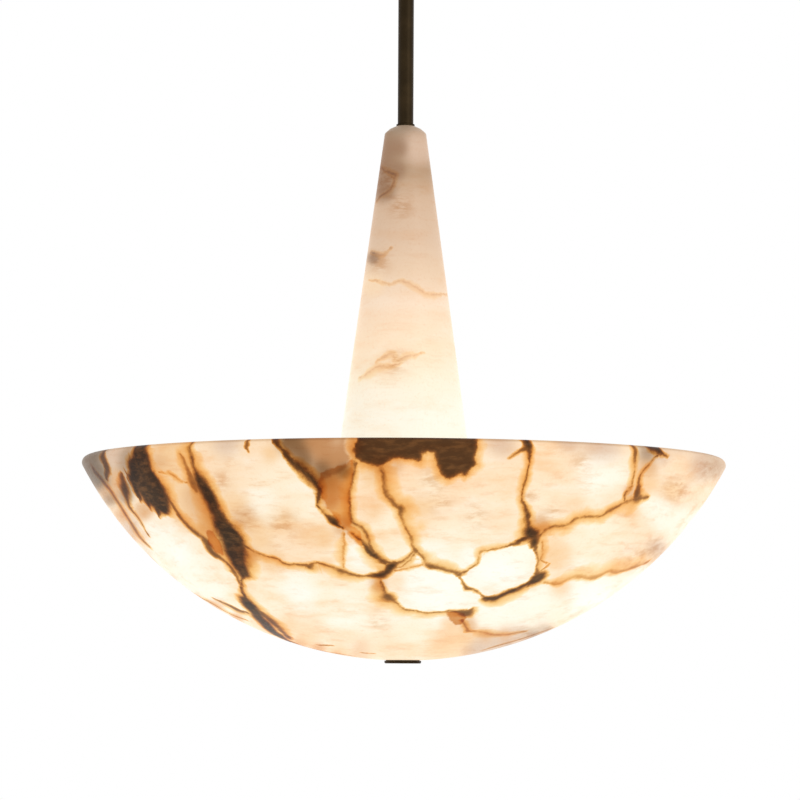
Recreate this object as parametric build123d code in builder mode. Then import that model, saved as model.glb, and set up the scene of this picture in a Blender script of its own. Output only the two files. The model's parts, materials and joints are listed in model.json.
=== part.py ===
"""Alabaster bowl pendant: a shallow stone bowl and a tapering stone stem, hung from the ceiling on a bronze rod.

The origin is on the ceiling plane, on the pendant's axis, and +Z points up, so that every piece hangs at a
negative height. The front of the pendant faces -Y. Sizes are in millimetres.

How it is held, from the ceiling down: a steel bracket is screwed to the ceiling box. Two studs in the bracket carry
the canopy. A seat ring turns in the canopy's floor, and a ball tilts in that ring, so that the rod hangs plumb under
a sloping ceiling. The rod hangs from the ball. A hollow threaded tube, screwed into the rod's lower end, runs down
through the stone stem, the spoked plate that the stem stands on, the lamp cluster and the bottom of the bowl, and
a flat round cap screwed on its end carries the bowl.
"""

import os
from math import acos, asin, atan2, cos, degrees, radians, sin, sqrt

from build123d import *

os.makedirs("parts", exist_ok=True)

# ---------------------------------------------------------------- fits
THREAD_GAP = 0.05  # between a thread and its nut, on the radius
SLIP_GAP = 0.4  # between a rod or tube and a hole that it only passes through, on the radius
RUNNING_GAP = 0.3  # between pieces that move past each other
BALL_GAP = 0.3  # between the swivel ball and its spherical seat
PIN_GAP = 0.05  # between a hinge pin and its hole in the ball, on the radius
PRESS_GAP = 0.01  # between a pressed pin and its hole, on the radius

# ---------------------------------------------------------------- ceiling bracket
BRACKET_LENGTH = 122.0
BRACKET_WIDTH = 26.0
BRACKET_THICKNESS = 2.5
BRACKET_CORNER = 6.0
WIRE_HOLE_RADIUS = 8.0
BOX_SLOT_SPACING = 79.4  # between slot centres, so that both common ceiling boxes fit
BOX_SLOT_LENGTH = 14.3
BOX_SLOT_WIDTH = 4.8
GROUND_SCREW_RADIUS = 2.0
GROUND_SCREW_HEAD_RADIUS = 3.8
GROUND_SCREW_HEAD = 2.4
GROUND_SCREW_OFFSET = 22.0  # from the axis

# ---------------------------------------------------------------- canopy and its fasteners
CANOPY_RADIUS = 70.0
CANOPY_DEPTH = 30.0
CANOPY_WALL = 1.5
CANOPY_EDGE_ROUND = 8.0
STUD_SPACING = 108.0
STUD_RADIUS = 2.5
STUD_BELOW_CANOPY = 6.0
CAP_NUT_RADIUS = 5.5
CAP_NUT_HEIGHT = 9.0
CAP_NUT_FLUTES = 16
CAP_NUT_FLUTE_RADIUS = 0.5

# ---------------------------------------------------------------- swivel
BALL_RADIUS = 16.0
BALL_TOP_FLAT = 9.0  # above the ball's centre
BALL_BOTTOM_FLAT = 13.0  # below the ball's centre
SEAT_RADIUS = 20.0
SEAT_BELOW_CENTRE = 11.0
SEAT_ABOVE_CENTRE = 5.0
SEAT_MOUTH_RADIUS = 12.4  # where the ball shows through the seat's underside
SEAT_MOUTH_FLARE = 14.4
SEAT_FLANGE_RADIUS = 25.0
SEAT_FLANGE_THICKNESS = 2.5
STOP_LUG_REACH = 6.0  # how far the turning stop's lug stands out of the flange
STOP_LUG_WIDTH = 6.0
STOP_PIN_RADIUS = 1.5
STOP_PIN_HEIGHT = 4.0
COLLAR_RADIUS = 27.0
COLLAR_THICKNESS = 3.7
TRUNNION_RADIUS = 2.0
TRUNNION_DEPTH = 5.5  # how far each hinge pin reaches into the ball

# ---------------------------------------------------------------- rod and threaded tube
ROD_RADIUS = 7.5
ROD_WALL = 1.5
ROD_LENGTH = 300.0
ROD_BELOW_SWIVEL = 20.0  # from the ball's centre down to the rod's top
ROD_END_CHAMFER = 0.6
INSERT_LENGTH = 16.0
TUBE_RADIUS = 5.0
TUBE_BORE_RADIUS = 3.75
THREAD_ENGAGEMENT = 14.0
NIPPLE_ABOVE_NUT = 2.0
ROD_WASHER_RADIUS = 8.8
ROD_WASHER_THICKNESS = 2.0

# ---------------------------------------------------------------- nuts
NUT_ACROSS_FLATS = 17.0
NUT_THICKNESS = 6.0
LOCK_NUT_THICKNESS = 5.0
NUT_CHAMFER = 1.0

# ---------------------------------------------------------------- stone stem and what it stands on
BODY_HEIGHT = 513.5  # from the top of the stem to the underside of the bottom cap
STEM_LENGTH = 336.0
STEM_BASE_RADIUS = 65.3
STEM_SHOULDER_RADIUS = 19.8
STEM_SHOULDER_DROP = 6.9
STEM_CROWN_RADIUS = 9.4
STEM_CROWN_BULGE = 0.9
STEM_WALL = 10.0  # measured level
STEM_HEAD = 42.0  # solid stone above the hollow
STEM_SHOULDER_ROUND = 3.0
STEM_BASE_ROUND = 1.5
STEM_GASKET_THICKNESS = 1.5
STEM_GASKET_WIDTH = 8.0
SUPPORT_THICKNESS = 4.0
SUPPORT_RING_WIDTH = 13.0
SUPPORT_RECESS = 1.0  # how far the support stays inside the stem's foot
SUPPORT_LIP_HEIGHT = 6.0
SUPPORT_LIP_WALL = 3.0
SUPPORT_HUB_RADIUS = 14.0
SUPPORT_SPOKES = 4
SPOKE_WIDTH = 9.0

# ---------------------------------------------------------------- lamp cluster
CLUSTER_BELOW_SUPPORT = 16.0  # from the support nut to the cluster's upper nut
CLUSTER_RADIUS = 23.0
CLUSTER_HEIGHT = 30.0
CLUSTER_WALL = 2.5
CLUSTER_EDGE_ROUND = 2.5
CLUSTER_LID_THICKNESS = 2.5
CLUSTER_LID_LIP = 3.0
LAMP_COUNT = 4
FIRST_LAMP_ANGLE = 45.0
ARM_LENGTH = 20.0
ARM_INSIDE_CLUSTER = 4.0
HOLDER_GAP = 8.0  # bare arm between the cluster and the lampholder
HOLDER_RADIUS = 20.0
HOLDER_BACK_RADIUS = 12.0
HOLDER_BACK_LENGTH = 13.0
HOLDER_BACK_WALL = 9.0
HOLDER_WALL = 2.6
HOLDER_SKIRT = 9.0  # how far the holder reaches past the socket inside it
HOLDER_LIP = 1.4
HOLDER_LIP_LENGTH = 4.0
SOCKET_FLOOR = 8.0
SOCKET_MOUTH_GAP = 1.5  # between the socket's mouth and the bulb's glass
BULB_CAP_RADIUS = 13.2
BULB_CAP_LENGTH = 26.0
BULB_CONTACT_RADIUS = 4.5
BULB_CONTACT_HEIGHT = 1.5
BULB_GLOBE_RADIUS = 30.0
BULB_NECK_RADIUS = 13.9
BULB_GLASS = 1.2
BULB_LENGTH = 108.0  # with its cap
BULB_SHOULDER_ANGLE = 128.0  # from the tip, where the neck's flare meets the round globe

# ---------------------------------------------------------------- stone bowl and what holds it
BOWL_HEIGHT = 190.0
BOWL_CORNER_RADIUS = 308.3  # of the outer curve at the rim, before the lip is rounded
BOWL_WALL = 12.0
BOWL_LIP_OUTER_ROUND = 5.5
BOWL_LIP_INNER_ROUND = 2.5
BOWL_INNER_SEAT_RADIUS = 24.0
BOWL_OUTER_SEAT_RADIUS = 17.0
CAP_RADIUS = 17.4
CAP_THICKNESS = 2.6
CAP_EDGE_ROUND = 1.2
CAP_FLOOR = 1.5
CAP_BOSS_WALL = 2.2
CAP_BOSS_HEIGHT = 9.0
OUTER_GASKET_THICKNESS = 0.6
OUTER_GASKET_RADIUS = 16.0
INNER_GASKET_RADIUS = 22.0
INNER_GASKET_THICKNESS = 1.5
INNER_WASHER_RADIUS = 20.0
INNER_WASHER_THICKNESS = 2.0

# ---------------------------------------------------------------- levels, all worked out from the sizes above
canopy_floor_top = CANOPY_WALL - CANOPY_DEPTH
collar_top = -CANOPY_DEPTH - RUNNING_GAP
collar_bottom = collar_top - COLLAR_THICKNESS
swivel_level = collar_bottom + SEAT_BELOW_CENTRE
lock_nut_bottom = swivel_level + BALL_TOP_FLAT
nipple_top = lock_nut_bottom + LOCK_NUT_THICKNESS + NIPPLE_ABOVE_NUT
rod_top = swivel_level - ROD_BELOW_SWIVEL
rod_bottom = rod_top - ROD_LENGTH
stem_top = rod_bottom - ROD_WASHER_THICKNESS
stem_foot = stem_top - STEM_LENGTH
support_top = stem_foot - STEM_GASKET_THICKNESS
support_bottom = support_top - SUPPORT_THICKNESS
cluster_nut_top = support_bottom - NUT_THICKNESS - CLUSTER_BELOW_SUPPORT
cluster_lid_top = cluster_nut_top - NUT_THICKNESS
cluster_top = cluster_lid_top - CLUSTER_LID_THICKNESS
cluster_bottom = cluster_top - CLUSTER_HEIGHT
lamp_level = (cluster_top + cluster_bottom) / 2
cap_bottom = stem_top - BODY_HEIGHT
cap_top = cap_bottom + CAP_THICKNESS
bowl_outer_seat = cap_top + OUTER_GASKET_THICKNESS

# The bowl is a slice of a hollow sphere. Its underside is ground flat for the gasket.
bowl_outer_curve = (BOWL_CORNER_RADIUS**2 + BOWL_HEIGHT**2) / (2 * BOWL_HEIGHT)
bowl_inner_curve = bowl_outer_curve - BOWL_WALL
bowl_centre = bowl_outer_seat + sqrt(bowl_outer_curve**2 - BOWL_OUTER_SEAT_RADIUS**2)
bowl_rim = bowl_centre - bowl_outer_curve + BOWL_HEIGHT
bowl_inner_seat = bowl_centre - bowl_inner_curve
cap_boss_radius = TUBE_RADIUS + THREAD_GAP + CAP_BOSS_WALL
bowl_hole_radius = cap_boss_radius + SLIP_GAP

stem_taper = (STEM_BASE_RADIUS - STEM_SHOULDER_RADIUS) / (STEM_LENGTH - STEM_SHOULDER_DROP)
rod_bore_radius = ROD_RADIUS - ROD_WALL
canopy_hole_radius = SEAT_RADIUS + RUNNING_GAP
threaded_hole_radius = TUBE_RADIUS + THREAD_GAP
tube_passage_radius = TUBE_RADIUS + SLIP_GAP


def finish(builder, name):
    """Labels a finished piece and writes it to its own file."""
    builder.part.label = name
    export_step(builder.part, f"parts/{name}.step")


def ring(outer_radius, inner_radius, bottom, thickness):
    """A flat round ring on the axis: a washer, a gasket or a disc with a hole."""
    with BuildPart() as made:
        with BuildSketch(Plane.XY.offset(bottom)):
            Circle(outer_radius)
            Circle(inner_radius, mode=Mode.SUBTRACT)
        extrude(amount=thickness)
    return made


def hex_nut(bottom, thickness):
    """A hexagon nut on the axis, for the threaded tube, with its corners turned off at both ends."""
    corner_radius = NUT_ACROSS_FLATS / 2 / cos(radians(30))
    face_radius = corner_radius - NUT_CHAMFER
    top = bottom + thickness
    chamfer_height = NUT_CHAMFER / 2
    with BuildPart() as made:
        with BuildSketch(Plane.XY.offset(bottom)):
            RegularPolygon(NUT_ACROSS_FLATS / 2, 6, major_radius=False)
            Circle(threaded_hole_radius, mode=Mode.SUBTRACT)
        extrude(amount=thickness)
        with BuildSketch(Plane.XZ):
            with BuildLine():
                Polyline(
                    (0, bottom),
                    (face_radius, bottom),
                    (corner_radius, bottom + chamfer_height),
                    (corner_radius, top - chamfer_height),
                    (face_radius, top),
                    (0, top),
                    close=True,
                )
            make_face()
        revolve(axis=Axis.Z, mode=Mode.INTERSECT)
    return made


# ================================================================ ceiling bracket and canopy

# The bracket is a flat steel strap. Its slots take the ceiling box's screws, and its middle hole the supply wires.
with BuildPart() as ceiling_bracket:
    with BuildSketch(Plane.XY.offset(-BRACKET_THICKNESS)):
        RectangleRounded(BRACKET_LENGTH, BRACKET_WIDTH, BRACKET_CORNER)
        Circle(WIRE_HOLE_RADIUS, mode=Mode.SUBTRACT)
        with GridLocations(BOX_SLOT_SPACING, 0, 2, 1):
            SlotOverall(BOX_SLOT_LENGTH, BOX_SLOT_WIDTH, mode=Mode.SUBTRACT)
        with GridLocations(STUD_SPACING, 0, 2, 1):
            Circle(STUD_RADIUS + THREAD_GAP, mode=Mode.SUBTRACT)
        with Locations((-GROUND_SCREW_OFFSET, 0)):
            Circle(GROUND_SCREW_RADIUS + THREAD_GAP, mode=Mode.SUBTRACT)
    extrude(amount=BRACKET_THICKNESS)
finish(ceiling_bracket, "ceiling_bracket")

# The ground screw clamps the earth wire under its slotted head, below the strap.
with BuildPart() as ground_screw:
    with Locations((-GROUND_SCREW_OFFSET, 0, -BRACKET_THICKNESS)):
        Cylinder(GROUND_SCREW_RADIUS, BRACKET_THICKNESS, align=(Align.CENTER, Align.CENTER, Align.MIN))
        Cylinder(
            GROUND_SCREW_HEAD_RADIUS,
            GROUND_SCREW_HEAD,
            align=(Align.CENTER, Align.CENTER, Align.MAX),
        )
    head_edge = ground_screw.edges().filter_by(GeomType.CIRCLE).sort_by(Axis.Z)[0]
    fillet(head_edge, GROUND_SCREW_HEAD / 3)
    with BuildSketch(Plane.XY.offset(-BRACKET_THICKNESS - GROUND_SCREW_HEAD)):
        with Locations((-GROUND_SCREW_OFFSET, 0)):
            Rectangle(2 * GROUND_SCREW_HEAD_RADIUS, GROUND_SCREW_HEAD / 3)
    extrude(amount=GROUND_SCREW_HEAD / 2, mode=Mode.SUBTRACT)
finish(ground_screw, "ground_screw")

# Two studs, screwed into the bracket, reach down through the canopy's floor.
with BuildPart() as canopy_studs:
    with BuildSketch(Plane.XY):
        with GridLocations(STUD_SPACING, 0, 2, 1):
            Circle(STUD_RADIUS)
    extrude(amount=-CANOPY_DEPTH - STUD_BELOW_CANOPY)
finish(canopy_studs, "canopy_studs")

# The canopy is a spun steel dish with a rounded edge, open towards the ceiling.
with BuildPart() as canopy:
    with BuildSketch(Plane.XY.offset(-CANOPY_DEPTH)):
        Circle(CANOPY_RADIUS)
    extrude(amount=CANOPY_DEPTH)
    fillet(canopy.edges().group_by(Axis.Z)[0], CANOPY_EDGE_ROUND)
    offset(amount=-CANOPY_WALL, openings=canopy.faces().sort_by(Axis.Z)[-1])
    with BuildSketch(Plane.XY.offset(-CANOPY_DEPTH)):
        Circle(canopy_hole_radius)
        with GridLocations(STUD_SPACING, 0, 2, 1):
            Circle(STUD_RADIUS + SLIP_GAP)
        with Locations((0, SEAT_FLANGE_RADIUS + STOP_LUG_REACH / 2)):
            Circle(STOP_PIN_RADIUS + PRESS_GAP)
    extrude(amount=CANOPY_WALL, mode=Mode.SUBTRACT)
finish(canopy, "canopy")

# Each stud's nut is a round cap with a fluted edge, so that the canopy comes down without a tool.
with BuildPart() as canopy_nuts:
    with BuildSketch(Plane.XY.offset(-CANOPY_DEPTH)):
        with GridLocations(STUD_SPACING, 0, 2, 1):
            Circle(CAP_NUT_RADIUS)
    extrude(amount=-CAP_NUT_HEIGHT)
    fillet(canopy_nuts.edges().group_by(Axis.Z)[0], CAP_NUT_RADIUS / 2)
    with BuildSketch(Plane.XY.offset(-CANOPY_DEPTH)):
        with GridLocations(STUD_SPACING, 0, 2, 1):
            Circle(STUD_RADIUS + THREAD_GAP)
    extrude(amount=-STUD_BELOW_CANOPY - THREAD_GAP, mode=Mode.SUBTRACT)
    with BuildSketch(Plane.XY.offset(-CANOPY_DEPTH)):
        with GridLocations(STUD_SPACING, 0, 2, 1):
            with PolarLocations(CAP_NUT_RADIUS, CAP_NUT_FLUTES):
                Circle(CAP_NUT_FLUTE_RADIUS)
    extrude(amount=-CAP_NUT_HEIGHT / 2, mode=Mode.SUBTRACT)
finish(canopy_nuts, "canopy_nuts")

# A pin riveted into the canopy's floor stops the swivel short of a full turn, so that the wires can't wind up.
with BuildPart() as swivel_stop:
    with BuildSketch(Plane.XY.offset(-CANOPY_DEPTH)):
        with Locations((0, SEAT_FLANGE_RADIUS + STOP_LUG_REACH / 2)):
            Circle(STOP_PIN_RADIUS)
    extrude(amount=CANOPY_WALL + STOP_PIN_HEIGHT)
finish(swivel_stop, "swivel_stop")

# ================================================================ swivel

# The seat ring rests on the canopy's floor by its flange and turns in the floor's hole. The ball sits in its cup.
seat_cup_radius = BALL_RADIUS + BALL_GAP
mouth_drop = sqrt(seat_cup_radius**2 - SEAT_MOUTH_RADIUS**2)
with BuildPart() as swivel_seat:
    with BuildSketch(Plane.XY.offset(collar_bottom)):
        Circle(SEAT_RADIUS)
    extrude(amount=SEAT_BELOW_CENTRE + SEAT_ABOVE_CENTRE)
    with BuildSketch(Plane.XY.offset(canopy_floor_top)):
        Circle(SEAT_FLANGE_RADIUS)
        with Locations((0, -SEAT_FLANGE_RADIUS)):
            Rectangle(STOP_LUG_WIDTH, 2 * STOP_LUG_REACH)
    extrude(amount=SEAT_FLANGE_THICKNESS)
    with BuildSketch(Plane.XZ):
        with BuildLine():
            Polyline(
                (SEAT_MOUTH_RADIUS, swivel_level - mouth_drop),
                (SEAT_MOUTH_FLARE, collar_bottom),
                (0, collar_bottom),
                (0, swivel_level + SEAT_ABOVE_CENTRE),
                (seat_cup_radius, swivel_level + SEAT_ABOVE_CENTRE),
                (seat_cup_radius, swivel_level),
            )
            CenterArc((0, swivel_level), seat_cup_radius, 0, -degrees(acos(SEAT_MOUTH_RADIUS / seat_cup_radius)))
        make_face()
    revolve(axis=Axis.Z, mode=Mode.SUBTRACT)
    with Locations(Plane.YZ.offset(-SEAT_RADIUS)):
        with Locations((0, swivel_level)):
            Cylinder(
                TRUNNION_RADIUS + PRESS_GAP,
                2 * SEAT_RADIUS,
                align=(Align.CENTER, Align.CENTER, Align.MIN),
                mode=Mode.SUBTRACT,
            )
finish(swivel_seat, "swivel_seat")

# A ring nut on the seat's lower end keeps it in the canopy and covers the hole's edge.
with BuildPart() as swivel_collar:
    with BuildSketch(Plane.XY.offset(collar_bottom)):
        Circle(COLLAR_RADIUS)
        Circle(SEAT_RADIUS + THREAD_GAP, mode=Mode.SUBTRACT)
    extrude(amount=COLLAR_THICKNESS)
    fillet(swivel_collar.edges().group_by(Axis.Z)[0].sort_by(SortBy.RADIUS)[-1], COLLAR_THICKNESS / 2)
finish(swivel_collar, "swivel_collar")

# Two pins, pressed through the seat's wall, are the axis on which the ball tilts.
trunnion_inner = BALL_RADIUS - TRUNNION_DEPTH
with BuildPart() as swivel_pins:
    for side_plane in (Plane.YZ.offset(trunnion_inner), Plane.YZ.offset(-SEAT_RADIUS)):
        with BuildSketch(side_plane):
            with Locations((0, swivel_level)):
                Circle(TRUNNION_RADIUS)
        extrude(amount=SEAT_RADIUS - trunnion_inner)
finish(swivel_pins, "swivel_pins")

# The ball has a threaded hole down its axis and a blind hole on each side for the pins.
with BuildPart() as swivel_ball:
    with Locations((0, 0, swivel_level)):
        Sphere(BALL_RADIUS)
    split(bisect_by=Plane.XY.offset(swivel_level + BALL_TOP_FLAT), keep=Keep.BOTTOM)
    split(bisect_by=Plane.XY.offset(swivel_level - BALL_BOTTOM_FLAT), keep=Keep.TOP)
    with BuildSketch(Plane.XY.offset(swivel_level - BALL_RADIUS)):
        Circle(threaded_hole_radius)
    extrude(amount=2 * BALL_RADIUS, mode=Mode.SUBTRACT)
    pin_hole_inner = trunnion_inner - RUNNING_GAP
    for side_plane in (Plane.YZ.offset(pin_hole_inner), Plane.YZ.offset(-BALL_RADIUS)):
        with BuildSketch(side_plane):
            with Locations((0, swivel_level)):
                Circle(TRUNNION_RADIUS + PIN_GAP)
        extrude(amount=BALL_RADIUS - pin_hole_inner, mode=Mode.SUBTRACT)
finish(swivel_ball, "swivel_ball")

nipple_length = nipple_top - (rod_top - THREAD_ENGAGEMENT)
swivel_nipple = ring(TUBE_RADIUS, TUBE_BORE_RADIUS, rod_top - THREAD_ENGAGEMENT, nipple_length)
finish(swivel_nipple, "swivel_nipple")
swivel_lock_nut = hex_nut(lock_nut_bottom, LOCK_NUT_THICKNESS)
finish(swivel_lock_nut, "swivel_lock_nut")

# ================================================================ rod and threaded tube

with BuildPart() as rod:
    with BuildSketch(Plane.XY.offset(rod_bottom)):
        Circle(ROD_RADIUS)
        Circle(rod_bore_radius, mode=Mode.SUBTRACT)
    extrude(amount=ROD_LENGTH)
    rod_ends = rod.edges().filter_by(GeomType.CIRCLE).filter_by(lambda edge: edge.radius > rod_bore_radius)
    chamfer(rod_ends, ROD_END_CHAMFER)
finish(rod, "rod")

# A threaded plug is pressed into each end of the rod.
rod_top_insert = ring(rod_bore_radius - PRESS_GAP, threaded_hole_radius, rod_top - INSERT_LENGTH, INSERT_LENGTH)
finish(rod_top_insert, "rod_top_insert")
rod_bottom_insert = ring(rod_bore_radius - PRESS_GAP, threaded_hole_radius, rod_bottom, INSERT_LENGTH)
finish(rod_bottom_insert, "rod_bottom_insert")
rod_washer = ring(ROD_WASHER_RADIUS, tube_passage_radius, stem_top, ROD_WASHER_THICKNESS)
finish(rod_washer, "rod_washer")

tube_top = rod_bottom + THREAD_ENGAGEMENT
tube_bottom = cap_bottom + CAP_FLOOR + THREAD_GAP
centre_tube = ring(TUBE_RADIUS, TUBE_BORE_RADIUS, tube_bottom, tube_top - tube_bottom)
finish(centre_tube, "centre_tube")

# ================================================================ stone stem

# The stem is turned from one block: a long cone with a low domed shoulder, hollow from below up to its solid head.
stem_shoulder = stem_top - STEM_SHOULDER_DROP
hollow_top = stem_top - STEM_HEAD
hollow_top_radius = STEM_SHOULDER_RADIUS + (stem_shoulder - hollow_top) * stem_taper - STEM_WALL
hollow_foot_radius = STEM_BASE_RADIUS - STEM_WALL
with BuildPart() as stem:
    with BuildSketch(Plane.XZ):
        with BuildLine():
            Polyline(
                (STEM_CROWN_RADIUS, stem_top),
                (tube_passage_radius, stem_top),
                (tube_passage_radius, hollow_top),
                (hollow_top_radius, hollow_top),
                (hollow_foot_radius, stem_foot),
                (STEM_BASE_RADIUS, stem_foot),
                (STEM_SHOULDER_RADIUS, stem_shoulder),
            )
            SagittaArc((STEM_SHOULDER_RADIUS, stem_shoulder), (STEM_CROWN_RADIUS, stem_top), STEM_CROWN_BULGE)
        make_face()
    revolve(axis=Axis.Z)
    round_edges = stem.edges().filter_by(GeomType.CIRCLE)
    shoulder_edge = round_edges.filter_by_position(Axis.Z, stem_shoulder - 0.1, stem_shoulder + 0.1)
    fillet(shoulder_edge, STEM_SHOULDER_ROUND)
    foot_edges = stem.edges().filter_by(GeomType.CIRCLE).group_by(Axis.Z)[0]
    fillet(foot_edges.sort_by(SortBy.RADIUS)[-1], STEM_BASE_ROUND)
finish(stem, "stem")

stem_gasket = ring(
    STEM_BASE_RADIUS - SUPPORT_RECESS,
    STEM_BASE_RADIUS - SUPPORT_RECESS - STEM_GASKET_WIDTH,
    support_top,
    STEM_GASKET_THICKNESS,
)
finish(stem_gasket, "stem_gasket")

# The stem stands on a spoked plate: its open sectors let the lamps shine up into the hollow, and its lip centres it.
support_radius = STEM_BASE_RADIUS - SUPPORT_RECESS
lip_radius = hollow_foot_radius - (STEM_GASKET_THICKNESS + SUPPORT_LIP_HEIGHT) * stem_taper - SLIP_GAP
with BuildPart() as stem_support:
    with BuildSketch(Plane.XY.offset(support_bottom)):
        Circle(support_radius)
        Circle(support_radius - SUPPORT_RING_WIDTH, mode=Mode.SUBTRACT)
        with PolarLocations(0, SUPPORT_SPOKES):
            with Locations((support_radius / 2, 0)):
                Rectangle(support_radius - SUPPORT_RING_WIDTH / 2, SPOKE_WIDTH)
        Circle(SUPPORT_HUB_RADIUS)
        Circle(tube_passage_radius, mode=Mode.SUBTRACT)
    extrude(amount=SUPPORT_THICKNESS)
    with BuildSketch(Plane.XY.offset(support_top)):
        Circle(lip_radius)
        Circle(lip_radius - SUPPORT_LIP_WALL, mode=Mode.SUBTRACT)
    extrude(amount=SUPPORT_LIP_HEIGHT)
finish(stem_support, "stem_support")

support_nut = hex_nut(support_bottom - NUT_THICKNESS, NUT_THICKNESS)
finish(support_nut, "support_nut")

# ================================================================ lamp cluster

# The cluster is a small round box on the tube, closed by a lid, where the lamps' wires meet the supply.
cluster_bore = CLUSTER_RADIUS - CLUSTER_WALL
lamp_angles = [FIRST_LAMP_ANGLE + index * 360 / LAMP_COUNT for index in range(LAMP_COUNT)]


def lamp_plane(angle):
    """The upright plane through one lamp's axis: its X runs outwards from the tube, and its Y runs up."""
    outward = (cos(radians(angle)), sin(radians(angle)), 0)
    sideways = (sin(radians(angle)), -cos(radians(angle)), 0)
    return Plane(origin=(0, 0, lamp_level), x_dir=outward, z_dir=sideways)


def lamp_axis(angle):
    """The line along which one lamp points."""
    plane = lamp_plane(angle)
    return Axis(plane.origin, plane.x_dir)


def port_plane(angle, distance):
    """The plane across one lamp's axis, at a distance from the tube's axis."""
    plane = lamp_plane(angle)
    return Plane(origin=plane.origin + plane.x_dir * distance, z_dir=plane.x_dir)


with BuildPart() as cluster_body:
    with BuildSketch(Plane.XY.offset(cluster_bottom)):
        Circle(CLUSTER_RADIUS)
    extrude(amount=CLUSTER_HEIGHT)
    fillet(cluster_body.edges().group_by(Axis.Z)[0], CLUSTER_EDGE_ROUND)
    with BuildSketch(Plane.XY.offset(cluster_bottom + CLUSTER_WALL)):
        Circle(cluster_bore)
    extrude(amount=CLUSTER_HEIGHT - CLUSTER_WALL, mode=Mode.SUBTRACT)
    with BuildSketch(Plane.XY.offset(cluster_bottom)):
        Circle(tube_passage_radius)
    extrude(amount=CLUSTER_WALL, mode=Mode.SUBTRACT)
    for angle in lamp_angles:
        with BuildSketch(port_plane(angle, CLUSTER_RADIUS - 2 * CLUSTER_WALL)):
            Circle(threaded_hole_radius)
        extrude(amount=2 * CLUSTER_WALL, mode=Mode.SUBTRACT)
finish(cluster_body, "cluster_body")

with BuildPart() as cluster_lid:
    with BuildSketch(Plane.XY.offset(cluster_top)):
        Circle(CLUSTER_RADIUS)
    extrude(amount=CLUSTER_LID_THICKNESS)
    fillet(cluster_lid.edges().group_by(Axis.Z)[-1], CLUSTER_LID_THICKNESS / 2)
    with BuildSketch(Plane.XY.offset(cluster_top)):
        Circle(cluster_bore - PIN_GAP)
        Circle(cluster_bore - PIN_GAP - CLUSTER_WALL, mode=Mode.SUBTRACT)
    extrude(amount=-CLUSTER_LID_LIP)
    with BuildSketch(Plane.XY.offset(cluster_top)):
        Circle(tube_passage_radius)
    extrude(amount=CLUSTER_LID_THICKNESS, mode=Mode.SUBTRACT)
finish(cluster_lid, "cluster_lid")

cluster_upper_nut = hex_nut(cluster_lid_top, NUT_THICKNESS)
finish(cluster_upper_nut, "cluster_upper_nut")
cluster_lower_nut = hex_nut(cluster_bottom - NUT_THICKNESS, NUT_THICKNESS)
finish(cluster_lower_nut, "cluster_lower_nut")

# Distances along a lamp's axis, from the tube's axis outwards.
arm_start = CLUSTER_RADIUS - ARM_INSIDE_CLUSTER
arm_end = arm_start + ARM_LENGTH
holder_start = CLUSTER_RADIUS + HOLDER_GAP
holder_floor = holder_start + HOLDER_BACK_WALL
contact_end = holder_floor + SOCKET_FLOOR
bulb_cap_start = contact_end + BULB_CONTACT_HEIGHT
bulb_cap_end = bulb_cap_start + BULB_CAP_LENGTH
bulb_tip = contact_end + BULB_LENGTH
socket_end = bulb_cap_end - SOCKET_MOUTH_GAP
holder_end = socket_end + HOLDER_SKIRT
holder_bore = HOLDER_RADIUS - HOLDER_WALL
globe_centre = bulb_tip - BULB_GLOBE_RADIUS


def lamp_arm(angle):
    """The threaded stub of tube that joins a lampholder to the cluster."""
    with BuildPart() as made:
        with BuildSketch(port_plane(angle, arm_start)):
            Circle(TUBE_RADIUS)
            Circle(TUBE_BORE_RADIUS, mode=Mode.SUBTRACT)
        extrude(amount=ARM_LENGTH)
    return made


def lampholder(angle):
    """The outer shell of a lampholder: a domed back that screws on to the arm, and a skirt with a rolled lip."""
    shoulder = holder_start + HOLDER_BACK_LENGTH
    lip_start = holder_end - HOLDER_LIP_LENGTH
    dome_rise = HOLDER_RADIUS - HOLDER_BACK_RADIUS
    dome_radius = (HOLDER_BACK_LENGTH**2 + dome_rise**2) / (2 * dome_rise)
    dome_sweep = degrees(atan2(HOLDER_BACK_LENGTH, dome_radius - dome_rise))
    with BuildPart() as made:
        with BuildSketch(lamp_plane(angle)):
            with BuildLine():
                CenterArc((shoulder, HOLDER_RADIUS - dome_radius), dome_radius, 90, dome_sweep)
                Polyline(
                    (shoulder, HOLDER_RADIUS),
                    (lip_start, HOLDER_RADIUS),
                    (lip_start + HOLDER_LIP, HOLDER_RADIUS + HOLDER_LIP),
                    (holder_end, HOLDER_RADIUS + HOLDER_LIP),
                    (holder_end, holder_bore),
                    (holder_floor, holder_bore),
                    (holder_floor, threaded_hole_radius),
                    (holder_start, threaded_hole_radius),
                    (holder_start, HOLDER_BACK_RADIUS),
                )
            make_face()
        revolve(axis=lamp_axis(angle))
    return made


def lamp_socket(angle):
    """The ceramic core inside the holder: a cup that the bulb's cap screws into."""
    outer_radius = holder_bore - PIN_GAP
    with BuildPart() as made:
        with BuildSketch(port_plane(angle, holder_floor)):
            Circle(outer_radius)
        extrude(amount=socket_end - holder_floor)
        with BuildSketch(port_plane(angle, contact_end)):
            Circle(BULB_CAP_RADIUS + THREAD_GAP)
        extrude(amount=socket_end - contact_end, mode=Mode.SUBTRACT)
    return made


def bulb_cap(angle):
    """The bulb's metal screw cap, with the contact on its end."""
    with BuildPart() as made:
        with BuildSketch(port_plane(angle, bulb_cap_start)):
            Circle(BULB_CAP_RADIUS)
        extrude(amount=BULB_CAP_LENGTH)
        with BuildSketch(port_plane(angle, contact_end)):
            Circle(BULB_CONTACT_RADIUS)
        extrude(amount=BULB_CONTACT_HEIGHT)
    return made


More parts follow.
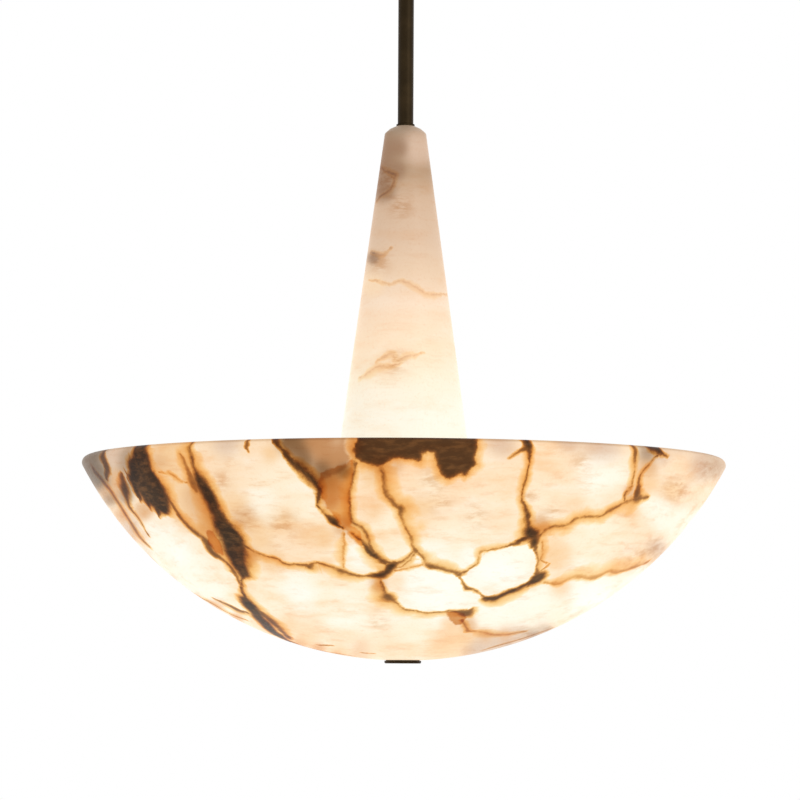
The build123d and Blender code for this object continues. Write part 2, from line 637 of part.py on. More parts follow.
def globe_profile(wall):
    """Half of the bulb's outline, drawn along the lamp's axis and set in by a wall's thickness."""
    round_radius = BULB_GLOBE_RADIUS - wall
    neck_radius = BULB_NECK_RADIUS - wall
    turn = radians(BULB_SHOULDER_ANGLE)
    joint = (globe_centre + round_radius * cos(turn), round_radius * sin(turn))
    neck = (bulb_cap_end, neck_radius)
    with BuildLine() as outline:
        Spline(neck, joint, tangents=((1, 0), (sin(turn), -cos(turn))))
        CenterArc((globe_centre, 0), round_radius, BULB_SHOULDER_ANGLE, -BULB_SHOULDER_ANGLE)
        Polyline((globe_centre + round_radius, 0), (bulb_cap_end, 0), neck)
    return outline


def bulb_globe(angle):
    """The opal glass bulb: a round globe that draws in to its neck, blown thin and hollow."""
    with BuildPart() as made:
        with BuildSketch(lamp_plane(angle)):
            with BuildLine():
                add(globe_profile(0).line)
            make_face()
            with BuildLine():
                add(globe_profile(BULB_GLASS).line)
            make_face(mode=Mode.SUBTRACT)
        revolve(axis=lamp_axis(angle))
    return made


for number, angle in enumerate(lamp_angles, start=1):
    finish(lamp_arm(angle), f"lamp_arm_{number}")
    finish(lampholder(angle), f"lampholder_{number}")
    finish(lamp_socket(angle), f"lamp_socket_{number}")
    finish(bulb_cap(angle), f"bulb_cap_{number}")
    finish(bulb_globe(angle), f"bulb_globe_{number}")

# ================================================================ stone bowl and its fixing

# The bowl is one slice of a hollow sphere with a rounded lip, ground flat at its foot inside and out.
outer_sweep = degrees(acos((bowl_centre - bowl_rim) / bowl_outer_curve))
inner_sweep = degrees(acos((bowl_centre - bowl_rim) / bowl_inner_curve))
inner_rim_radius = bowl_inner_curve * sin(radians(inner_sweep))
with BuildPart() as bowl:
    with BuildSketch(Plane.XZ):
        with BuildLine():
            CenterArc((0, bowl_centre), bowl_outer_curve, -90, outer_sweep)
            Line((BOWL_CORNER_RADIUS, bowl_rim), (inner_rim_radius, bowl_rim))
            CenterArc((0, bowl_centre), bowl_inner_curve, -90, inner_sweep)
            Line((0, bowl_centre - bowl_inner_curve), (0, bowl_centre - bowl_outer_curve))
        make_face()
    revolve(axis=Axis.Z)
    rim_edges = bowl.edges().filter_by(GeomType.CIRCLE).group_by(Axis.Z)[-1].sort_by(SortBy.RADIUS)
    fillet(rim_edges[-1], BOWL_LIP_OUTER_ROUND)
    rim_edges = bowl.edges().filter_by(GeomType.CIRCLE).group_by(Axis.Z)[-1].sort_by(SortBy.RADIUS)
    fillet(rim_edges[0], BOWL_LIP_INNER_ROUND)
    with BuildSketch(Plane.XY.offset(bowl_inner_seat)):
        Circle(BOWL_INNER_SEAT_RADIUS)
    extrude(amount=BOWL_WALL, mode=Mode.SUBTRACT)
    with BuildSketch(Plane.XY.offset(bowl_outer_seat)):
        Circle(BOWL_OUTER_SEAT_RADIUS + SLIP_GAP)
    extrude(amount=-BOWL_WALL, mode=Mode.SUBTRACT)
    with BuildSketch(Plane.XY.offset(bowl_outer_seat)):
        Circle(bowl_hole_radius)
    extrude(amount=BOWL_WALL, mode=Mode.SUBTRACT)
finish(bowl, "bowl")

bowl_inner_gasket = ring(INNER_GASKET_RADIUS, tube_passage_radius, bowl_inner_seat, INNER_GASKET_THICKNESS)
finish(bowl_inner_gasket, "bowl_inner_gasket")
inner_washer_bottom = bowl_inner_seat + INNER_GASKET_THICKNESS
bowl_inner_washer = ring(INNER_WASHER_RADIUS, tube_passage_radius, inner_washer_bottom, INNER_WASHER_THICKNESS)
finish(bowl_inner_washer, "bowl_inner_washer")
bowl_nut = hex_nut(inner_washer_bottom + INNER_WASHER_THICKNESS, NUT_THICKNESS)
finish(bowl_nut, "bowl_nut")
bowl_outer_gasket = ring(OUTER_GASKET_RADIUS, bowl_hole_radius, cap_top, OUTER_GASKET_THICKNESS)
finish(bowl_outer_gasket, "bowl_outer_gasket")

# The bottom cap is a flat disc with a threaded boss that reaches up through the bowl on to the tube's end.
with BuildPart() as bottom_cap:
    with BuildSketch(Plane.XY.offset(cap_bottom)):
        Circle(CAP_RADIUS)
    extrude(amount=CAP_THICKNESS)
    fillet(bottom_cap.edges().group_by(Axis.Z)[0], CAP_EDGE_ROUND)
    with BuildSketch(Plane.XY.offset(cap_top)):
        Circle(cap_boss_radius)
    extrude(amount=CAP_BOSS_HEIGHT)
    with BuildSketch(Plane.XY.offset(cap_bottom + CAP_FLOOR)):
        Circle(threaded_hole_radius)
    extrude(amount=CAP_THICKNESS + CAP_BOSS_HEIGHT, mode=Mode.SUBTRACT)
finish(bottom_cap, "bottom_cap")

print("bowl across its lip", round(2 * bowl.part.bounding_box().max.X, 1), "mm")
print("rim plane at", round(bowl_rim, 2), "stem foot at", round(stem_foot, 2), "cap bottom at", round(cap_bottom, 2))
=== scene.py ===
# %% [markdown]
# # Dressing an alabaster bowl pendant
#
# The pendant comes in as a imported model: its pieces at their real size, in metres, already joined where they move.
# What is left to do here is the looks. The shallow bowl and the tapering stem are carved from alabaster and lit from
# inside, so most of this lesson is about stone that glows: where it is hot white, where it is honey, and how dark
# veins cross it. Everything else is metal, glass and porcelain.
#
# The frame is loaded first.

# %% Load the imported pendant
import json
import math

import bpy
import numpy as np
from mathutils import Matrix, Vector


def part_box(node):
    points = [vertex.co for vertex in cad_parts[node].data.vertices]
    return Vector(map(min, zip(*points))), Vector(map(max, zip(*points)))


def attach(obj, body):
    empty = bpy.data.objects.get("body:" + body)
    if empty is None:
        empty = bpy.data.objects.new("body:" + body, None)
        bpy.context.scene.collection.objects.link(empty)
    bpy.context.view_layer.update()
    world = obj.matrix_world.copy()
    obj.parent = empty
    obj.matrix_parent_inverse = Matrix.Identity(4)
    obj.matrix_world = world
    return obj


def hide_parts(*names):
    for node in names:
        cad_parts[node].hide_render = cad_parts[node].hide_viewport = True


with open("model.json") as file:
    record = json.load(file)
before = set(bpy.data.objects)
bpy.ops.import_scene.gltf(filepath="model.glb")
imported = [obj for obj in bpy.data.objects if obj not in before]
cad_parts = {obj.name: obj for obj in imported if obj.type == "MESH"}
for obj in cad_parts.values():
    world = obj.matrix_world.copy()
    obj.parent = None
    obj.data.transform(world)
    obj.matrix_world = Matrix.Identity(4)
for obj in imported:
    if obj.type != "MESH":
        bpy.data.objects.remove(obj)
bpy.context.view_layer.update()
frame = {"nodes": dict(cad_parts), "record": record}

# %% [markdown]
# ## The camera
#
# The picture was taken from about the height of the bowl's underside, some three metres away and with a long lens:
# the near rim is only a little higher in the picture than the rim's ends, and the stem's sides hardly converge.
# The camera looks up by a few degrees, so no lens shift is needed, and it was held a hair off level. It comes first,
# because the veins are laid along its lines of sight later on.

# %% Set the camera where the photographer stood
PICTURE_SIZE = 800  # pixels, both ways
SENSOR_WIDTH = 36.0  # mm
CAMERA_LENS = 142.15  # mm
CAMERA_DISTANCE = 3.0  # metres from the pendant's axis
CAMERA_SIDE = -0.0026  # metres to the right of it
CAMERA_HEIGHT = -0.8607  # metres, measured from the ceiling
CAMERA_PITCH = math.radians(4.81)
CAMERA_ROLL = math.radians(-0.3)

scene = bpy.context.scene
camera_data = bpy.data.cameras.new("camera")
camera_data.lens = CAMERA_LENS
camera_data.sensor_width = SENSOR_WIDTH
camera = bpy.data.objects.new("camera", camera_data)
camera.location = (CAMERA_SIDE, -CAMERA_DISTANCE, CAMERA_HEIGHT)
camera.rotation_euler = (math.radians(90.0) + CAMERA_PITCH, CAMERA_ROLL, 0.0)
scene.collection.objects.link(camera)
scene.camera = camera
scene.view_settings.view_transform = "Standard"

focal_pixels = CAMERA_LENS / SENSOR_WIDTH * PICTURE_SIZE
camera_turn = camera.rotation_euler.to_matrix()
print("focal length in pixels:", round(focal_pixels, 1))


def sight_lines(pixels):
    """Directions from the camera through picture points, one row each."""
    across = (pixels[:, 0] - PICTURE_SIZE / 2) / focal_pixels
    up = (PICTURE_SIZE / 2 - pixels[:, 1]) / focal_pixels
    local = np.stack([across, up, -np.ones(len(pixels))], axis=1)
    return local @ np.array(camera_turn).T


def picture_points(places):
    """Where places in the world come in the picture, in pixels."""
    local = (places - np.array(camera.location)) @ np.array(camera_turn)
    across = PICTURE_SIZE / 2 + focal_pixels * local[:, 0] / -local[:, 2]
    down = PICTURE_SIZE / 2 - focal_pixels * local[:, 1] / -local[:, 2]
    return np.stack([across, down], axis=1)


# %% [markdown]
# ## A short way to write node graphs
#
# Every finish here is a graph of nodes, and written out in full such a graph is long. A small helper adds one node
# a line and takes either a plain number or another node's output for each input, so that a finish reads like a
# recipe. Colours are written as the usual 0 to 255 values and turned into the linear light that the nodes want.

# %% Helpers for colours and node graphs
def paint(red, green, blue):
    """A colour as seen on a screen, turned into linear light."""
    seen = np.array([red, green, blue]) / 255.0
    linear = np.where(seen <= 0.04045, seen / 12.92, ((seen + 0.055) / 1.055) ** 2.4)
    return (*linear.tolist(), 1.0)


class Graph:
    """Adds nodes to one node tree."""

    def __init__(self, tree):
        self.tree = tree

    def plug(self, value, socket):
        if isinstance(value, bpy.types.NodeSocket):
            self.tree.links.new(value, socket)
        else:
            socket.default_value = value

    def add(self, kind, inputs=(), **settings):
        node = self.tree.nodes.new(kind)
        for name, value in settings.items():
            setattr(node, name, value)
        for socket, value in dict(inputs).items():
            self.plug(value, node.inputs[socket])
        return node

    def math(self, operation, *values, clamp=False):
        node = self.add("ShaderNodeMath", operation=operation, use_clamp=clamp)
        for value, socket in zip(values, node.inputs):
            self.plug(value, socket)
        return node.outputs[0]

    def vector(self, operation, *values):
        node = self.add("ShaderNodeVectorMath", operation=operation)
        for value, socket in zip(values, node.inputs):
            self.plug(value, socket)
        return node.outputs["Value" if operation in ("LENGTH", "DISTANCE", "DOT_PRODUCT") else "Vector"]

    def scaled(self, vector, factor):
        node = self.add("ShaderNodeVectorMath", {0: vector, "Scale": factor}, operation="SCALE")
        return node.outputs["Vector"]

    def attribute(self, name, output="Fac"):
        return self.add("ShaderNodeAttribute", attribute_name=name).outputs[output]

    def noise(self, place, scale, detail=2.0, roughness=0.5, output=0):
        inputs = {"Vector": place, "Scale": scale, "Detail": detail, "Roughness": roughness}
        return self.add("ShaderNodeTexNoise", inputs).outputs[output]

    def step(self, value, low, high, at_low=0.0, at_high=1.0):
        """A smooth step from one value to another as the input goes from low to high."""
        inputs = {0: value, 1: low, 2: high, 3: at_low, 4: at_high}
        return self.add("ShaderNodeMapRange", inputs, interpolation_type="SMOOTHSTEP").outputs[0]

    def blend(self, factor, first, second, mode="MIX"):
        node = self.add("ShaderNodeMix", data_type="RGBA", blend_type=mode)
        for value, index in ((factor, 0), (first, 6), (second, 7)):
            self.plug(value, node.inputs[index])
        return node.outputs[2]

    def ramp(self, factor, stops):
        node = self.add("ShaderNodeValToRGB", {0: factor})
        elements = node.color_ramp.elements
        while len(elements) < len(stops):
            elements.new(0.5)
        for element, (position, colour) in zip(elements, stops):
            element.position = position
            element.color = colour
        return node.outputs[0]

    def stretched(self, place, along_x, along_y, along_z):
        """The place with each axis multiplied, so that a pattern on it is squeezed along that axis."""
        node = self.add("ShaderNodeMapping", {"Vector": place, "Scale": (along_x, along_y, along_z)})
        return node.outputs[0]

    def bump(self, strength, depth, height, shader):
        """Fine relief on a finish. The depth is in metres."""
        node = self.add("ShaderNodeBump", {"Strength": strength, "Distance": depth, "Height": height})
        self.plug(node.outputs[0], shader.inputs["Normal"])


def new_material(name):
    """A fresh material with one Principled shader: the material, its graph, the shader and the object's own place."""
    material = bpy.data.materials.new(name)
    material.use_nodes = True
    graph = Graph(material.node_tree)
    shader = material.node_tree.nodes["Principled BSDF"]
    place = graph.add("ShaderNodeTexCoord").outputs["Object"]
    return material, graph, shader, place


print("mid grey in linear light:", round(paint(128, 128, 128)[0], 3))

# %% [markdown]
# ## Turning on a lathe
#
# The bowl and the stem were turned: the shape of each is one profile, spun round the axis. A Geometry Nodes tree
# does the same here. It takes the profile's points, lays out a grid with one column for each point, bends the grid
# round the axis, and merges the seam and the poles. The `crowding` input draws the rows together towards the front,
# where the veins are laid closest, without adding any.

# %% A lathe built from Geometry Nodes
WELD = 1e-6  # metres; corners closer than this are merged


def new_tree(name, inputs):
    """An empty Geometry Nodes tree with named inputs, given as (name, kind of socket)."""
    tree = bpy.data.node_groups.new(name, "GeometryNodeTree")
    tree.interface.new_socket("Geometry", in_out="INPUT", socket_type="NodeSocketGeometry")
    for label, kind in inputs:
        tree.interface.new_socket(label, in_out="INPUT", socket_type=f"NodeSocket{kind}")
    tree.interface.new_socket("Geometry", in_out="OUTPUT", socket_type="NodeSocketGeometry")
    return tree, Graph(tree), tree.nodes.new("NodeGroupInput").outputs


def end_tree(graph, geometry, material):
    """Closes a tree the same way each time: smooth faces, real geometry, and the material."""
    smooth = graph.add("GeometryNodeSetShadeSmooth", {"Geometry": geometry}).outputs[0]
    real = graph.add("GeometryNodeRealizeInstances", {"Geometry": smooth}).outputs[0]
    dressed = graph.add("GeometryNodeSetMaterial", {"Geometry": real, "Material": material}).outputs[0]
    graph.plug(dressed, graph.tree.nodes.new("NodeGroupOutput").inputs[0])


def build_lathe():
    """A tree that turns the profile it is given into a closed, merged surface."""
    tree, graph, given = new_tree("lathe", [("Rows", "Int"), ("Points", "Int"), ("Crowding", "Float"),
                                            ("Material", "Material")])
    size = {"Size X": 1.0, "Size Y": 1.0, "Vertices X": given["Points"], "Vertices Y": given["Rows"]}
    grid = graph.add("GeometryNodeMeshGrid", size).outputs[0]
    position = graph.add("GeometryNodeInputPosition").outputs[0]
    parts = graph.add("ShaderNodeSeparateXYZ", {0: position}).outputs
    last = graph.math("SUBTRACT", given["Points"], 1.0)
    index = graph.math("ROUND", graph.math("MULTIPLY", graph.math("ADD", parts[0], 0.5), last))
    sample = graph.add("GeometryNodeSampleIndex", data_type="FLOAT_VECTOR", domain="POINT")
    graph.plug(given["Geometry"], sample.inputs["Geometry"])
    graph.plug(position, next(s for s in sample.inputs if s.name == "Value" and s.enabled))
    graph.plug(index, sample.inputs["Index"])
    profile = graph.add("ShaderNodeSeparateXYZ", {0: sample.outputs[0]}).outputs
    turn = graph.math("MULTIPLY", graph.math("ADD", parts[1], 0.5), math.tau)
    angle = graph.math("SUBTRACT", turn, graph.math("MULTIPLY", graph.math("SINE", turn), given["Crowding"]))
    across = graph.math("MULTIPLY", profile[0], graph.math("SINE", angle))
    back = graph.math("MULTIPLY", profile[0], graph.math("MULTIPLY", graph.math("COSINE", angle), -1.0))
    spun = graph.add("ShaderNodeCombineXYZ", {0: across, 1: back, 2: profile[2]}).outputs[0]
    bent = graph.add("GeometryNodeSetPosition", {"Geometry": grid, "Position": spun}).outputs[0]
    merged = graph.add("GeometryNodeMergeByDistance", {"Geometry": bent, "Distance": WELD}).outputs[0]
    end_tree(graph, merged, given["Material"])
    return tree


def run_tree(name, tree, mesh, **settings):
    """Runs a tree on a mesh and keeps the result as a plain mesh object."""
    start = bpy.data.objects.new("start", mesh)
    scene.collection.objects.link(start)
    modifier = start.modifiers.new("tree", "NODES")
    modifier.node_group = tree
    sockets = {item.name: item.identifier for item in tree.interface.items_tree if item.in_out == "INPUT"}
    for label, value in settings.items():
        modifier[sockets[label.capitalize()]] = value
    start.update_tag()
    seen = start.evaluated_get(bpy.context.evaluated_depsgraph_get())
    made = bpy.data.objects.new(name, bpy.data.meshes.new_from_object(seen))
    made.data.name = name
    scene.collection.objects.link(made)
    bpy.data.objects.remove(start)
    return made


lathe = build_lathe()
print("nodes in the lathe:", len(lathe.nodes))

# %% [markdown]
# ## Drawing a profile
#
# A profile is a list of points in the plane of the axis: how far out, and how high. Straight runs and round corners
# are all that these two shapes need, so one helper walks along an arc in even steps and another joins points with
# straight runs in even steps.

# %% Helpers that draw profiles
SAME_PLACE = 1e-7  # metres; points of a profile closer than this are one


def arc(centre, radius, start, end, step):
    """Points along an arc about a centre. Angles are in degrees, anticlockwise from straight out."""
    length = abs(math.radians(end - start)) * radius
    turns = np.radians(np.linspace(start, end, max(2, round(length / step) + 1)))
    return [(centre[0] + radius * math.cos(turn), centre[1] + radius * math.sin(turn)) for turn in turns]


def run(start, end, step):
    """Points along a straight run, both ends included."""
    count = max(2, round(math.dist(start, end) / step) + 1)
    return [tuple(point) for point in np.linspace(start, end, count)]


def spin(name, profile, rows, crowding, material):
    """Turns a closed profile on the lathe and checks that its faces point outwards."""
    points = [profile[0]]
    for point in profile[1:] + profile[:1]:
        if math.dist(point, points[-1]) > SAME_PLACE or point is profile[0]:
            points.append(point)
    mesh = bpy.data.meshes.new("profile")
    mesh.from_pydata([(out, 0.0, up) for out, up in points], [], [])
    made = run_tree(name, lathe, mesh, rows=rows, points=len(points), crowding=crowding, material=material)
    corners = np.empty(len(made.data.vertices) * 3)
    made.data.vertices.foreach_get("co", corners)
    corners = corners.reshape(-1, 3)
    middle = np.array([face.center for face in made.data.polygons])
    outward = np.array([face.normal for face in made.data.polygons])
    area = np.array([face.area for face in made.data.polygons])
    volume = (middle * outward).sum(axis=1) @ area / 3
    if volume < 0:
        made.data.flip_normals()
    print(name, "vertices:", len(corners), "volume in litres:", round(abs(volume) * 1000, 3))
    return made


print("points on a quarter circle:", len(arc((0.0, 0.0), 1.0, 0.0, 90.0, 0.1)))

# %% [markdown]
# ## The bowl
#
# The real bowl is turned from one block of stone: a slice of a hollow sphere, with a lip that is rounded more on the
# outside than on the inside, and a hole in its floor for the tube that holds it up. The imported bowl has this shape
# already. It is made again here, in its place, for one reason: a vein that is a millimetre wide can only be laid on
# a mesh whose corners lie a few millimetres apart.

# %% Turn the bowl
MM = 0.001
BOWL_HEIGHT = 190.0 * MM
BOWL_CORNER_RADIUS = 308.3 * MM
BOWL_WALL = 12.0 * MM
LIP_OUTER_ROUND = 5.5 * MM
LIP_INNER_ROUND = 2.5 * MM
OUTER_SEAT_RADIUS = 17.4 * MM
INNER_SEAT_RADIUS = 24.0 * MM
BOWL_HOLE_RADIUS = 7.65 * MM
BOWL_STEP = 3.2 * MM
INNER_STEP = 8.0 * MM
LIP_STEP = 1.3 * MM
BOWL_ROWS = 521
FRONT_CROWDING = 0.3

bowl_low, bowl_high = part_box("bowl")
rim_height = bowl_high[2]
outer_curve = (BOWL_CORNER_RADIUS**2 + BOWL_HEIGHT**2) / (2 * BOWL_HEIGHT)
inner_curve = outer_curve - BOWL_WALL
bowl_centre = rim_height - BOWL_HEIGHT + outer_curve


def bowl_profile():
    """The bowl's cross-section, anticlockwise from the hole's outer edge."""
    rim_drop = rim_height - bowl_centre
    outer_level = rim_drop - LIP_OUTER_ROUND
    outer_reach = math.sqrt((outer_curve - LIP_OUTER_ROUND) ** 2 - outer_level**2)
    outer_angle = math.degrees(math.atan2(outer_level, outer_reach))
    inner_level = rim_drop - LIP_INNER_ROUND
    inner_reach = math.sqrt((inner_curve + LIP_INNER_ROUND) ** 2 - inner_level**2)
    inner_angle = math.degrees(math.atan2(inner_level, inner_reach))
    outer_foot = -math.degrees(math.acos(OUTER_SEAT_RADIUS / outer_curve))
    inner_foot = -math.degrees(math.acos(INNER_SEAT_RADIUS / inner_curve))
    outer_seat = bowl_low[2]
    inner_seat = bowl_centre - inner_curve
    centre = (0.0, bowl_centre)
    points = run((BOWL_HOLE_RADIUS, outer_seat), (OUTER_SEAT_RADIUS, outer_seat), BOWL_STEP)
    points += arc(centre, outer_curve, outer_foot, outer_angle, BOWL_STEP)
    points += arc((outer_reach, bowl_centre + outer_level), LIP_OUTER_ROUND, outer_angle, 90.0, LIP_STEP)
    points += arc((inner_reach, bowl_centre + inner_level), LIP_INNER_ROUND, 90.0, 180.0 + inner_angle, LIP_STEP)
    points += arc(centre, inner_curve, inner_angle, inner_foot, INNER_STEP)
    points += run((INNER_SEAT_RADIUS, inner_seat), (BOWL_HOLE_RADIUS, inner_seat), INNER_STEP)
    return points


bowl_alabaster = new_material("lit_alabaster_bowl")
bowl_stone = spin("bowl_stone", bowl_profile(), BOWL_ROWS, FRONT_CROWDING, bowl_alabaster[0])
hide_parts("bowl")
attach(bowl_stone, "pendant")

# %% [markdown]
# ## The stem
#
# The stem is a long cone that stands on a plate inside the bowl. It is hollow from below, so that the lamps can light
# it, and solid at its head, where the tube passes through. Its shoulder is a low dome. A cone with rounded corners
# needs little more than its corner points, and a helper that rounds a corner of any angle does the rest.

# %% Turn the stem
STEM_BASE_RADIUS = 65.3 * MM
STEM_SHOULDER_RADIUS = 19.8 * MM
STEM_SHOULDER_DROP = 6.9 * MM
STEM_CROWN_RADIUS = 9.4 * MM
STEM_CROWN_BULGE = 0.9 * MM
STEM_WALL = 10.0 * MM
STEM_HEAD = 42.0 * MM
STEM_SHOULDER_ROUND = 3.0 * MM
STEM_BASE_ROUND = 1.5 * MM
STEM_BORE_RADIUS = 5.4 * MM
STEM_STEP = 2.2 * MM
ROUND_STEP = 0.5 * MM
STEM_ROWS = 241

stem_low, stem_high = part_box("stem")
stem_foot, stem_top = stem_low[2], stem_high[2]
stem_shoulder = stem_top - STEM_SHOULDER_DROP
stem_taper = (STEM_BASE_RADIUS - STEM_SHOULDER_RADIUS) / (stem_shoulder - stem_foot)


def rounded_corner(before, corner, after, radius, step):
    """Points along the arc that rounds one corner of a profile."""
    back = (Vector(before) - Vector(corner)).normalized()
    ahead = (Vector(after) - Vector(corner)).normalized()
    half = back.angle(ahead) / 2
    centre = Vector(corner) + (back + ahead).normalized() * (radius / math.sin(half))
    first = Vector(corner) + back * (radius / math.tan(half)) - centre
    last = Vector(corner) + ahead * (radius / math.tan(half)) - centre
    start = math.degrees(math.atan2(first.y, first.x))
    sweep = math.degrees(first.angle_signed(last))
    return arc(centre, radius, start, start - sweep, step)


def stem_profile():
    """The stem's cross-section, from the bore's lower edge round the foot and up the outside."""
    hollow_top = stem_top - STEM_HEAD
    hollow_top_radius = STEM_SHOULDER_RADIUS + (stem_shoulder - hollow_top) * stem_taper - STEM_WALL
    foot_inside = (STEM_BASE_RADIUS - STEM_WALL, stem_foot)
    foot_corner = (STEM_BASE_RADIUS, stem_foot)
    shoulder = (STEM_SHOULDER_RADIUS, stem_shoulder)
    crown = (STEM_CROWN_RADIUS, stem_top)
    slope = (Vector(crown) - Vector(shoulder)).normalized()
    bulge = (Vector(shoulder) + Vector(crown)) / 2 + Vector((-slope.y, slope.x)) * -STEM_CROWN_BULGE
    foot_round = rounded_corner(foot_inside, foot_corner, shoulder, STEM_BASE_ROUND, ROUND_STEP)
    shoulder_round = rounded_corner(foot_corner, shoulder, bulge, STEM_SHOULDER_ROUND, ROUND_STEP)
    points = run((STEM_BORE_RADIUS, hollow_top), (hollow_top_radius, hollow_top), STEM_STEP)
    points += run((hollow_top_radius, hollow_top), foot_inside, INNER_STEP)
    points += run(foot_inside, foot_round[0], STEM_STEP) + foot_round
    points += run(foot_round[-1], shoulder_round[0], STEM_STEP) + shoulder_round
    points += run(shoulder_round[-1], tuple(bulge), STEM_STEP)
    points += run(tuple(bulge), crown, STEM_STEP)
    points += run(crown, (STEM_BORE_RADIUS, stem_top), STEM_STEP)
    points += run((STEM_BORE_RADIUS, stem_top), (STEM_BORE_RADIUS, hollow_top), INNER_STEP)
    return points


stem_alabaster = new_material("lit_alabaster_stem")
stem_stone = spin("stem_stone", stem_profile(), STEM_ROWS, FRONT_CROWDING, stem_alabaster[0])
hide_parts("stem")
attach(stem_stone, "pendant")

# %% [markdown]
# ## Veins, laid where the picture shows them
#
# A vein is a path in the picture with a width at each point, in pixels. Before the path stands how dark its heart is
# and how far its amber glow reaches into the stone in millimetres: first on the left hand of someone who walks along
# it, then on the right. Most veins are the edge of one bright cell and one dim one, and only the dim one glows amber.
# The paths are drawn on the picture and carried along the camera's lines of sight on to the stone, so they
# sit on the curved surface and stay there when the camera moves.

# %% The bowl's veins
UMBER, BROWN, RUST, AMBER = 1.0, 0.75, 0.4, 0.1  # how dark a vein's heart is

